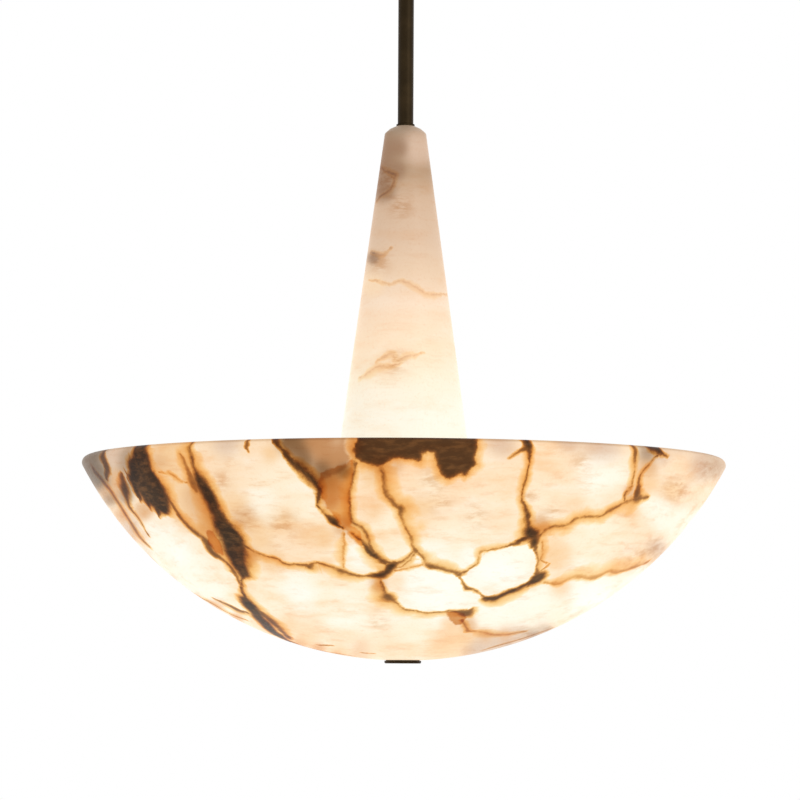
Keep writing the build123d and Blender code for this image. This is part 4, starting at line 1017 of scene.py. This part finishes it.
def store(mesh, name, values):
    """Keeps one value, vector or colour for each corner of the mesh."""
    kind = {1: "FLOAT", 3: "FLOAT_VECTOR", 4: "FLOAT_COLOR"}[1 if values.ndim == 1 else values.shape[1]]
    field = {"FLOAT": "value", "FLOAT_VECTOR": "vector", "FLOAT_COLOR": "color"}[kind]
    mesh.attributes.new(name, kind, "POINT").data.foreach_set(field, values.astype(np.float32).ravel())


def corners_of(mesh):
    """Where the mesh's corners are, one row each."""
    flat = np.empty(len(mesh.vertices) * 3)
    mesh.vertices.foreach_get("co", flat)
    return flat.reshape(-1, 3)


def mark_stone(mesh, stone, veins, soft, clouds, base_tone, patches):
    """Stores everything that the stone's finish reads, at each corner of the mesh. Lengths are in millimetres."""
    spots = stone.surface(corners_of(mesh))
    layers = share_out(lay_paths(veins, stone))
    edges, darks = [], []
    for number, layer in enumerate(layers):
        offset, half, glow, by_path = nearest_in_layer(spots, stone.outward(spots), layer)
        store(mesh, f"vein_offset_{number}", offset / MM)
        store(mesh, f"vein_half_{number}", half / MM)
        store(mesh, f"vein_edge_{number}", (np.linalg.norm(offset, axis=1) - half) / MM)
        store(mesh, f"vein_glow_{number}", glow / MM)
        edges.append(by_path)
        darks += [path["dark"] for path in layer]
    edges = np.hstack(edges)
    weight = np.exp(-(edges - edges.min(axis=1)[:, None]) / DARKNESS_BLEND)
    weight /= weight.sum(axis=1)[:, None]
    dark = weight @ np.array(darks)
    colour = base_tone(spots)
    felt_sum = np.ones(len(spots))
    for name, places in soft.items():
        felt = soft_spots(spots, places, stone).sum(axis=1) * TONE_GAIN
        colour = colour + felt[:, None] * np.array(tones[name])
        felt_sum += felt
    store(mesh, "tone", colour / felt_sum[:, None])
    store(mesh, "cloud", np.clip(soft_spots(spots, clouds, stone).sum(axis=1), 0.0, 1.0))
    for name, shapes in patches.items():
        depth, strength = patch_depth(spots, shapes, stone)
        if name == "stain":
            dark = np.maximum(dark, np.clip(1.0 - depth / STAIN_EDGE, 0.0, 1.0))
        store(mesh, name, depth / MM)
        store(mesh, name + "_strength", strength)
    store(mesh, "vein_dark", dark)
    return len(layers)


def bowl_base_glow(spots):
    """The bowl's tone with its painted glow: cream all over, and a little rosier and dimmer towards the rim, a painted
    shade where less lamp light comes through.
    """
    rise = np.clip((spots[:, 2] - bowl_low[2]) / BOWL_HEIGHT, 0.0, 1.0)[:, None]
    return np.array(tones["cream"]) * (1 - rise**3) + np.array(tones["peach"]) * rise**3


# The stem's tone with its painted glow, from its foot, 0, to its top, 1: brightest near the lamps and darker up to its
# solid head, a painted shade. Matched to the picture at a few heights.
stem_glow = [(0.0, paint(252, 250, 236)), (0.18, paint(254, 249, 233)), (0.27, paint(254, 240, 215)),
             (0.36, paint(254, 229, 198)), (0.48, paint(249, 223, 196)), (0.57, paint(234, 205, 175)),
             (0.66, paint(222, 193, 166)), (0.78, paint(212, 181, 153)), (0.82, paint(200, 170, 142)),
             (0.87, paint(179, 149, 120)), (0.94, paint(177, 150, 126)), (1.0, paint(154, 133, 112))]


def stem_base_glow(spots):
    """The stem's tone with its painted glow: bright near the lamps, and dim and rosy at its solid head, a painted
    shade where less light comes through.
    """
    rise = (spots[:, 2] - stem_foot) / (stem_top - stem_foot)
    stops = [stop for stop, _ in stem_glow]
    shades = np.array([shade for _, shade in stem_glow])
    return np.stack([np.interp(rise, stops, shades[:, channel]) for channel in range(4)], axis=1)


bowl_patches = {"stain": bowl_stains, "amber": bowl_ambers, "shade": bowl_shades}
bowl_layers = mark_stone(bowl_stone.data, BowlSurface(), bowl_veins, bowl_tones, bowl_clouds, bowl_base_glow, bowl_patches)
stem_layers = mark_stone(stem_stone.data, StemSurface(), stem_veins, stem_tones, stem_clouds, stem_base_glow, {})
print("vein layers on the bowl:", bowl_layers, "and on the stem:", stem_layers)

# %% [markdown]
# ## Light through the veins
#
# Real alabaster lets light through, but less of it, and only the warm part, where a vein is near. A material that
# scatters light inside would render slowly and look unlit once it is exported. So the finish here works out how much
# light each place lets through. First come the distances: noise bends each vein, frays its edges and makes threads
# swell and thin out. The nearest edge of all layers counts, and the glow dims where the glows of two veins meet.

# %% Feel the veins
SOFT_BEND, FINE_BEND = 5.0, 3.2  # mm by which a vein is bent, over long and short waves
FRAYED = 1.8  # of a vein's half width, by which its edges fray
WIDE_VEIN, THREAD = 5.0, 2.5  # mm of half width, past which it no longer counts
MESH_SLACK = 3.5  # mm; the stored distance is only right to about one face of the mesh
RUSTY_EDGE, RUSTY_BY_WIDTH, RUSTY_BY_GLOW = 0.6, 0.4, 0.13  # mm, and shares that widen it
SMOOTHING = 0.8  # mm over which the edges of two veins run together
STAIN_FRAY, STAIN_RUST, STAIN_GLOW = 7.0, 1.6, 6.0  # mm
FAR_FROM_VEINS = 60.0  # mm


def feel_veins(graph, place, rough, layer_count, has_patches):
    """The distance to the nearest edge in mm, and how far out of the rusty edge and of the glow a place is, 0 to 1."""
    bends = [(graph.noise(place, 60.0, 2.0, 0.5, "Color"), SOFT_BEND),
             (graph.noise(place, 260.0, 3.0, 0.6, "Color"), FINE_BEND)]
    bends = [graph.scaled(graph.vector("SUBTRACT", wave, (0.5, 0.5, 0.5)), most) for wave, most in bends]
    bend = graph.vector("ADD", *bends)
    swell = graph.step(graph.noise(place, 75.0, 3.0, 0.6), 0.3, 0.7, 0.15, 1.5)
    breadth = graph.step(graph.noise(place, 24.0, 3.0, 0.6), 0.3, 0.7, 0.6, 1.8)
    edge, rust, glow = FAR_FROM_VEINS, 1.0, 1.0
    for number in range(layer_count):
        offset = graph.vector("ADD", graph.attribute(f"vein_offset_{number}", "Vector"), bend)
        half = graph.attribute(f"vein_half_{number}")
        wide = graph.math("MINIMUM", half, WIDE_VEIN)
        frayed = graph.math("MULTIPLY", graph.math("MULTIPLY", wide, rough), FRAYED)
        thinned = graph.math("MULTIPLY", graph.math("MINIMUM", half, THREAD), graph.math("SUBTRACT", 1.0, swell))
        gap = graph.math("SUBTRACT", graph.vector("LENGTH", offset), half)
        gap = graph.math("ADD", gap, graph.math("ADD", frayed, thinned))
        gap = graph.math("MAXIMUM", gap, graph.math("SUBTRACT", graph.attribute(f"vein_edge_{number}"), MESH_SLACK))
        reach = graph.math("MULTIPLY", graph.attribute(f"vein_glow_{number}"), breadth)
        near = graph.math("ADD", graph.math("MULTIPLY", wide, RUSTY_BY_WIDTH), RUSTY_EDGE)
        near = graph.math("ADD", graph.math("MULTIPLY", reach, RUSTY_BY_GLOW), near)
        edge = graph.math("SMOOTH_MIN", edge, gap, SMOOTHING)
        rust = graph.math("MINIMUM", rust, graph.math("DIVIDE", gap, near, clamp=True))
        glow = graph.math("MULTIPLY", glow, graph.math("DIVIDE", graph.math("SUBTRACT", gap, near), reach, clamp=True))
    if has_patches:
        stain = graph.math("ADD", graph.attribute("stain"), graph.math("MULTIPLY", rough, STAIN_FRAY))
        edge = graph.math("SMOOTH_MIN", edge, stain, 1.0)
        rust = graph.math("MINIMUM", rust, graph.math("DIVIDE", stain, STAIN_RUST, clamp=True))
        reach = graph.math("MULTIPLY", breadth, STAIN_GLOW)
        far = graph.math("DIVIDE", graph.math("SUBTRACT", stain, STAIN_RUST), reach, clamp=True)
        glow = graph.math("MULTIPLY", glow, far)
    return edge, rust, glow


print("veins read by the bowl's finish:", 2 * len(bowl_veins), "in", bowl_layers, "layers")

# %% [markdown]
# The three distances become one position from the heart of a vein to clear stone, and two ramps turn it into the
# light that is let through: from umber for dark veins, and from amber for faint ones. Each vein has its own place
# between the two. In a wide heart some paler streaks show, as they do in the real stone.

# %% Turn distance into light
CLEAR = (1.0, 1.0, 1.0, 1.0)
HEART_DEPTH = 4.6  # mm from a vein's edge to where it is darkest
HEART_PART, RUST_PART, GLOW_PART = 0.24, 0.24, 0.52  # of the way from dark to clear

umber_stops = [(0.0, paint(58, 43, 28)), (0.08, paint(66, 48, 31)), (0.17, paint(98, 68, 40)),
               (0.24, paint(140, 96, 55)), (0.34, paint(192, 142, 80)), (0.44, paint(228, 181, 110)),
               (0.52, paint(243, 204, 142)), (0.66, paint(250, 222, 174)), (0.82, paint(254, 239, 210)), (1.0, CLEAR)]
amber_stops = [(0.0, paint(206, 144, 80)), (0.22, paint(224, 168, 100)), (0.36, paint(238, 194, 132)),
               (0.5, paint(248, 217, 166)), (0.72, paint(254, 236, 204)), (1.0, CLEAR)]


def light_let_through(graph, place, rough, layer_count, has_patches):
    """The colour of the light that each place lets through."""
    edge, rust, glow = feel_veins(graph, place, rough, layer_count, has_patches)
    heart = graph.math("DIVIDE", graph.math("ADD", edge, HEART_DEPTH), HEART_DEPTH, clamp=True)
    position = graph.math("ADD", graph.math("MULTIPLY", heart, HEART_PART), graph.math("MULTIPLY", rust, RUST_PART))
    position = graph.math("ADD", position, graph.math("MULTIPLY", glow, GLOW_PART))
    ramps = [graph.ramp(position, stops) for stops in (amber_stops, umber_stops)]
    passed = graph.blend(graph.attribute("vein_dark"), *ramps)
    if has_patches:
        thin_stone = graph.math("MULTIPLY", graph.step(graph.attribute("stain"), 2.0, -2.0), 0.35)
        passed = graph.blend(thin_stone, passed, paint(112, 82, 54))
    lit_streak = graph.noise(graph.stretched(place, 1.0, 1.0, 3.0), 70.0, 4.0, 0.65)
    inner = graph.math("MULTIPLY", graph.step(lit_streak, 0.42, 0.7, 0.0, 0.7), graph.math("SUBTRACT", 1.0, heart))
    return graph.blend(inner, passed, paint(118, 88, 58))


print("ramps of", len(umber_stops), "and", len(amber_stops), "colours")

# %% [markdown]
# ## The stone between the veins
#
# The stored tone is only a start, and part of it is painted light: the lamps' glow, and painted shade where less of it
# comes through. Alabaster is laid down in beds, so level clouds, streaks and a fine grain are laid over it with noise
# that is squeezed in height. Then come a painted shade along the bowl's lip, and the amber and grey patches.
# Multiplying keeps every one of these in the stone, and never paint on top of it.

# %% Tint the stone
LIP_SHADE_LOW, LIP_SHADE_HIGH = 3.2 * MM, 0.6 * MM  # below the rim, where the painted shade along the lip starts and is full
PATCH_FRAY = 5.0  # mm


def stone_tone_and_glow(graph, place, rough, grain, mottling, has_patches):
    """The stone's own colour with its painted glow and shade, and the painted shade along the lip, without its veins.
    """
    level = graph.stretched(place, 1.0, 1.0, 3.4)
    cloud = graph.noise(level, 16.0, 5.0, 0.6)
    streak = graph.noise(graph.stretched(place, 1.0, 1.0, 5.0), 34.0, 4.0, 0.65)
    tone = graph.attribute("tone", "Color")
    tone = graph.blend(graph.step(cloud, 0.48, 0.74, 0.0, 0.75 * mottling), tone, paint(249, 220, 186), "MULTIPLY")
    bright = graph.step(graph.add("ShaderNodeSeparateColor", {0: tone}).outputs[1], 0.45, 0.9)
    whitened = graph.math("MULTIPLY", graph.step(cloud, 0.50, 0.28, 0.0, 0.5 * mottling), bright)
    tone = graph.blend(whitened, tone, paint(255, 253, 244))
    tone = graph.blend(graph.step(streak, 0.52, 0.74, 0.0, 0.6 * mottling), tone, paint(240, 214, 190), "MULTIPLY")
    tone = graph.blend(graph.step(grain, 0.5, 0.8, 0.0, 0.25), tone, paint(238, 214, 190), "MULTIPLY")
    mottle = graph.step(graph.noise(level, 55.0, 4.0, 0.65), 0.36, 0.66)
    mottle = graph.math("MULTIPLY", mottle, graph.attribute("cloud"))
    tone = graph.blend(graph.math("MULTIPLY", mottle, 0.75), tone, paint(224, 194, 162), "MULTIPLY")
    if has_patches:
        height = graph.add("ShaderNodeSeparateXYZ", {0: place}).outputs[2]
        # Painted shade: a darker band along the top of the bowl's lip.
        lip = graph.step(height, rim_height - LIP_SHADE_LOW, rim_height - LIP_SHADE_HIGH, 0.0, 0.8)
        tone = graph.blend(lip, tone, paint(212, 198, 176), "MULTIPLY")
        frayed = graph.math("MULTIPLY", rough, PATCH_FRAY)
        warm = graph.math("ADD", graph.attribute("amber"), frayed)
        depth = graph.blend(graph.attribute("amber_strength"), paint(252, 214, 160), paint(186, 124, 58))
        tone = graph.blend(graph.step(warm, 1.2, -1.6), tone, depth, "MULTIPLY")
        shade = graph.math("ADD", graph.attribute("shade"), frayed)
        strength = graph.math("MULTIPLY", graph.step(shade, 1.0, -3.0), graph.attribute("shade_strength"))
        tone = graph.blend(strength, tone, paint(190, 148, 100), "MULTIPLY")
    return tone


print("the lip's band in millimetres:", round((LIP_SHADE_LOW - LIP_SHADE_HIGH) / MM, 1))

# %% [markdown]
# ## The finish of lit alabaster
#
# Tone times light gives the colour. Most of it is emitted, because the lamps are behind the stone, and less of it is
# reflected, so that the room still shades the bowl a little. The surface is honed, not polished, so it is given low
# gloss and the faintest relief.

# %% Finish the bowl and the stem
GLOW_SHARE = 0.66  # of the colour, emitted
SURFACE_SHARE = 0.42  # of the colour, reflected


def finish_stone(alabaster, layer_count, vein_strength, mottling, has_patches):
    """Makes a material that reads what mark_stone stored."""
    _, graph, shader, place = alabaster
    rough = graph.math("SUBTRACT", graph.noise(place, 150.0, 4.0, 0.7), 0.5)
    grain = graph.noise(place, 420.0, 3.0, 0.6)
    passed = light_let_through(graph, place, rough, layer_count, has_patches)
    passed = graph.blend(vein_strength, CLEAR, passed)
    tone = stone_tone_and_glow(graph, place, rough, grain, mottling, has_patches)
    colour = graph.blend(1.0, tone, passed, "MULTIPLY")
    graph.plug(colour, shader.inputs["Emission Color"])
    graph.plug(graph.blend(1.0, colour, (SURFACE_SHARE,) * 3 + (1.0,), "MULTIPLY"), shader.inputs["Base Color"])
    shader.inputs["Emission Strength"].default_value = GLOW_SHARE
    graph.plug(graph.step(grain, 0.3, 0.7, 0.30, 0.42), shader.inputs["Roughness"])
    shader.inputs["IOR"].default_value = 1.4
    shader.inputs["Specular IOR Level"].default_value = 0.1
    surface = graph.math("ADD", graph.math("MULTIPLY", grain, 0.4), graph.noise(place, 90.0, 2.0))
    graph.bump(0.12, 0.6 * MM, surface, shader)
    return len(graph.tree.nodes)


print("nodes in the bowl's finish:", finish_stone(bowl_alabaster, bowl_layers, 1.0, 0.8, True))
print("nodes in the stem's finish:", finish_stone(stem_alabaster, stem_layers, 0.5, 0.35, False))

# %% [markdown]
# ## Metals
#
# Rod, canopy and swivel are oiled dark bronze, the strap and plates are zinc plated, nuts and tube are brass, and the
# earth screw is painted green. What tells them apart up close is what the years and the tools left: cloudy patina on
# the bronze, spangle on the zinc, turning marks on the brass. One recipe has a place for each. The colours are those
# of unlit metal, so that the room gives them their light.

# %% A recipe for aged metal
def aged_metal(name, colour, worn, roughness, marks=(1.0, 1.0, 1.0), metallic=1.0, spangle=60.0, gloss=0.5):
    """A metal with a cloudy tint, fine marks that can be drawn out along an axis, and uneven gloss."""
    material, graph, shader, place = new_material(name)
    cloud = graph.noise(place, spangle, 4.0, 0.6)
    marked = graph.noise(graph.stretched(place, *marks), 900.0, 3.0, 0.6)
    tint = graph.blend(graph.step(cloud, 0.35, 0.7, 0.0, 0.8), colour, worn)
    tint = graph.blend(graph.step(marked, 0.4, 0.8, 0.0, 0.25), tint, worn)
    graph.plug(tint, shader.inputs["Base Color"])
    uneven = graph.math("ADD", graph.math("MULTIPLY", marked, 0.16), graph.math("MULTIPLY", cloud, 0.14))
    graph.plug(graph.math("ADD", uneven, roughness - 0.15), shader.inputs["Roughness"])
    shader.inputs["Metallic"].default_value = metallic
    shader.inputs["Specular IOR Level"].default_value = gloss
    graph.bump(0.25, 0.2 * MM, marked, shader)
    return material


along_axis = (1.0, 1.0, 0.04)
round_axis = (1.0, 1.0, 6.0)
finishes = {
    "dark_bronze": aged_metal("dark_bronze", paint(43, 33, 18), paint(58, 45, 27), 0.46, along_axis, 0.6, 45.0, 0.1),
    "zinc_steel": aged_metal("zinc_steel", paint(176, 177, 172), paint(196, 190, 170), 0.34, spangle=120.0),
    "brass": aged_metal("brass", paint(196, 158, 92), paint(172, 128, 66), 0.28, round_axis),
    "green_screw": aged_metal("green_screw", paint(42, 112, 58), paint(66, 136, 70), 0.34, metallic=0.7,
                              spangle=300.0),
}
print("metals:", ", ".join(finishes))

# %% [markdown]
# ## Rubber, moulding and porcelain
#
# The gaskets are rubber, the lampholders' shells are moulded and their cores are fired. None of these is metal, and
# none is quite one shade: two close shades drift into each other, and a fine grain breaks up the gloss.

# %% A recipe for the rest
def moulded_or_fired(name, colour, other, roughness, grain, relief, gloss=0.5):
    """A moulded, fired or rubbery surface: two close shades, a fine grain, and no metal."""
    material, graph, shader, place = new_material(name)
    cloud = graph.noise(place, grain / 12, 3.0)
    fine = graph.noise(place, grain, 4.0, 0.65)
    tint = graph.blend(graph.step(cloud, 0.35, 0.7), colour, other)
    graph.plug(graph.blend(graph.step(fine, 0.45, 0.8, 0.0, 0.3), tint, other), shader.inputs["Base Color"])
    graph.plug(graph.step(fine, 0.3, 0.7, roughness - 0.06, roughness + 0.08), shader.inputs["Roughness"])
    shader.inputs["Specular IOR Level"].default_value = gloss
    graph.bump(0.3, relief, fine, shader)
    return material


finishes["rubber"] = moulded_or_fired("rubber", paint(38, 37, 36), paint(52, 50, 48), 0.72, 900.0, 0.2 * MM, 0.3)
finishes["holder_shell"] = moulded_or_fired("holder_shell", paint(52, 44, 38), paint(64, 55, 47), 0.44, 700.0,
                                            0.15 * MM)
finishes["porcelain"] = moulded_or_fired("porcelain", paint(236, 233, 224), paint(224, 219, 208), 0.16, 120.0,
                                         0.1 * MM)
print("finishes so far:", len(finishes))

# %% [markdown]
# ## The bulbs
#
# A bulb is opal glass on a rolled screw cap. Lit opal glass is nearly one even white, a touch warmer at the neck,
# where the lamp inside is shadowed. The cap's thread is only a relief in the finish, with painted shade in its
# grooves, because the caps are hidden in the lampholders: its rings follow the distance from the pendant's axis, and
# all four bulbs lie square to that.

# %% Bulb caps and opal glass
THREAD_PITCH = 3.6 * MM
NECK, CROWN = 0.085, 0.125  # metres from the pendant's axis


def rolled_cap(name):
    """A bulb's cap: bright metal with a rolled thread, whose rings follow the distance from the pendant's axis."""
    material, graph, shader, place = new_material(name)
    flat = graph.vector("MULTIPLY", place, (1.0, 1.0, 0.0))
    out = graph.vector("LENGTH", flat)
    wave = graph.math("SINE", graph.math("MULTIPLY", out, math.tau / THREAD_PITCH))
    dull = graph.noise(place, 300.0, 3.0)
    # Painted shade: the thread's grooves are drawn darker than its crests.
    tint = graph.blend(graph.step(wave, -1.0, 0.2, 0.8, 0.0), paint(205, 204, 200), paint(132, 130, 126))
    tint = graph.blend(graph.step(dull, 0.45, 0.75, 0.0, 0.3), tint, paint(150, 146, 138))
    graph.plug(tint, shader.inputs["Base Color"])
    graph.plug(graph.step(dull, 0.3, 0.7, 0.26, 0.4), shader.inputs["Roughness"])
    shader.inputs["Metallic"].default_value = 1.0
    graph.bump(1.0, 0.8 * MM, wave, shader)
    return material


def lit_opal(name):
    """Opal glass with a lamp inside: evenly bright, a touch warmer towards the neck, with faint swirls."""
    material, graph, shader, place = new_material(name)
    out = graph.vector("LENGTH", graph.vector("MULTIPLY", place, (1.0, 1.0, 0.0)))
    warm = graph.step(out, NECK, CROWN)
    swirl = graph.noise(place, 70.0, 3.0)
    glow = graph.blend(warm, paint(255, 222, 170), paint(255, 246, 224))
    glow = graph.blend(graph.step(swirl, 0.4, 0.7, 0.0, 0.3), glow, paint(255, 232, 190))
    graph.plug(glow, shader.inputs["Emission Color"])
    shader.inputs["Emission Strength"].default_value = 1.6
    graph.plug(graph.blend(warm, paint(236, 226, 206), paint(246, 242, 232)), shader.inputs["Base Color"])
    graph.plug(graph.step(swirl, 0.3, 0.7, 0.14, 0.22), shader.inputs["Roughness"])
    return material


finishes["bulb_cap"] = rolled_cap("bulb_cap")
finishes["opal_glass"] = lit_opal("opal_glass")
finishes["alabaster"] = bowl_alabaster[0]
print("finishes:", ", ".join(finishes))

# %% [markdown]
# ## Dressing the pieces
#
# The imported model's record says what each piece is made of, and every piece gets the finish of that name. The packed
# bowl and stem have given way to the stone that was turned above, but they are dressed too, so that none is left bare.

# %% Give every piece its finish
for part in frame["record"]["subparts"]:
    piece = frame["nodes"][part["node"]]
    piece.data.materials.clear()
    piece.data.materials.append(finishes[part["material_slot"]])

# %% [markdown]
# ## The room
#
# A plain white room: an even white world, a pale floor well below the bowl, and one large soft light to the right of
# the camera, so that round things have a lighter and a darker side. The world lights the lamp at less than its full
# white, or the metal would look washed out, but the camera sees it as white, also in a reflection or through glass.

# %% World
WORLD_LIGHT = 0.72

world = bpy.data.worlds.new("studio")
world.use_nodes = True
sky = Graph(world.node_tree)
behind = world.node_tree.nodes["Background"]
behind.inputs["Color"].default_value = CLEAR
rays = sky.add("ShaderNodeLightPath").outputs
shown = sky.math("MAXIMUM", rays["Is Camera Ray"], rays["Is Glossy Ray"])
shown = sky.math("MAXIMUM", shown, rays["Is Transmission Ray"])
sky.plug(sky.step(shown, 0.0, 1.0, WORLD_LIGHT, 1.0), behind.inputs["Strength"])
scene.world = world
print("the world lights at", WORLD_LIGHT, "and shows as 1.0")

# %% [markdown]
# The floor is a plain round sheet, far enough below the bowl to stay out of the picture. It is part of the stage and
# not of the lamp.

# %% Floor
FLOOR_LEVEL = -1.75
FLOOR_RADIUS = 7.0
FLOOR_CORNERS = 96

floor_mesh = bpy.data.meshes.new("floor")
turns = np.linspace(0, math.tau, FLOOR_CORNERS + 1)[:-1]
rim = [(FLOOR_RADIUS * math.cos(turn), FLOOR_RADIUS * math.sin(turn), FLOOR_LEVEL) for turn in turns]
floor_mesh.from_pydata(rim, [], [range(len(rim))])
floor = bpy.data.objects.new("floor", floor_mesh)
scene.collection.objects.link(floor)
pale, pale_graph, pale_shader, pale_place = new_material("pale_floor")
speck = pale_graph.noise(pale_place, 14.0, 3.0)
for socket, darker, lighter in (("Base Color", paint(232, 231, 228), paint(238, 237, 234)),
                                ("Emission Color", paint(250, 250, 249), paint(255, 255, 254))):
    pale_graph.plug(pale_graph.blend(speck, darker, lighter), pale_shader.inputs[socket])
pale_shader.inputs["Emission Strength"].default_value = 0.3
pale_shader.inputs["Roughness"].default_value = 0.9
pale_shader.inputs["Specular IOR Level"].default_value = 0.1
floor_mesh.materials.append(pale)
print("floor at", FLOOR_LEVEL, "metres")

# %% [markdown]
# One large round light gives a soft shade from right to left. Small or strong lights would clip the pale stone.

# %% Light
SOFTBOX_PLACE = Vector((2.2, -2.4, 0.9))
SOFTBOX_AIM = Vector((0.0, 0.0, -0.6))

lamp = bpy.data.lights.new("softbox", "AREA")
lamp.shape = "DISK"
lamp.size = 1.6
lamp.energy = 26.0
softbox = bpy.data.objects.new("softbox", lamp)
softbox.location = SOFTBOX_PLACE
softbox.rotation_euler = (SOFTBOX_AIM - SOFTBOX_PLACE).to_track_quat("-Z", "Y").to_euler()
scene.collection.objects.link(softbox)
print("softbox:", lamp.energy, "watts over", lamp.size, "metres")
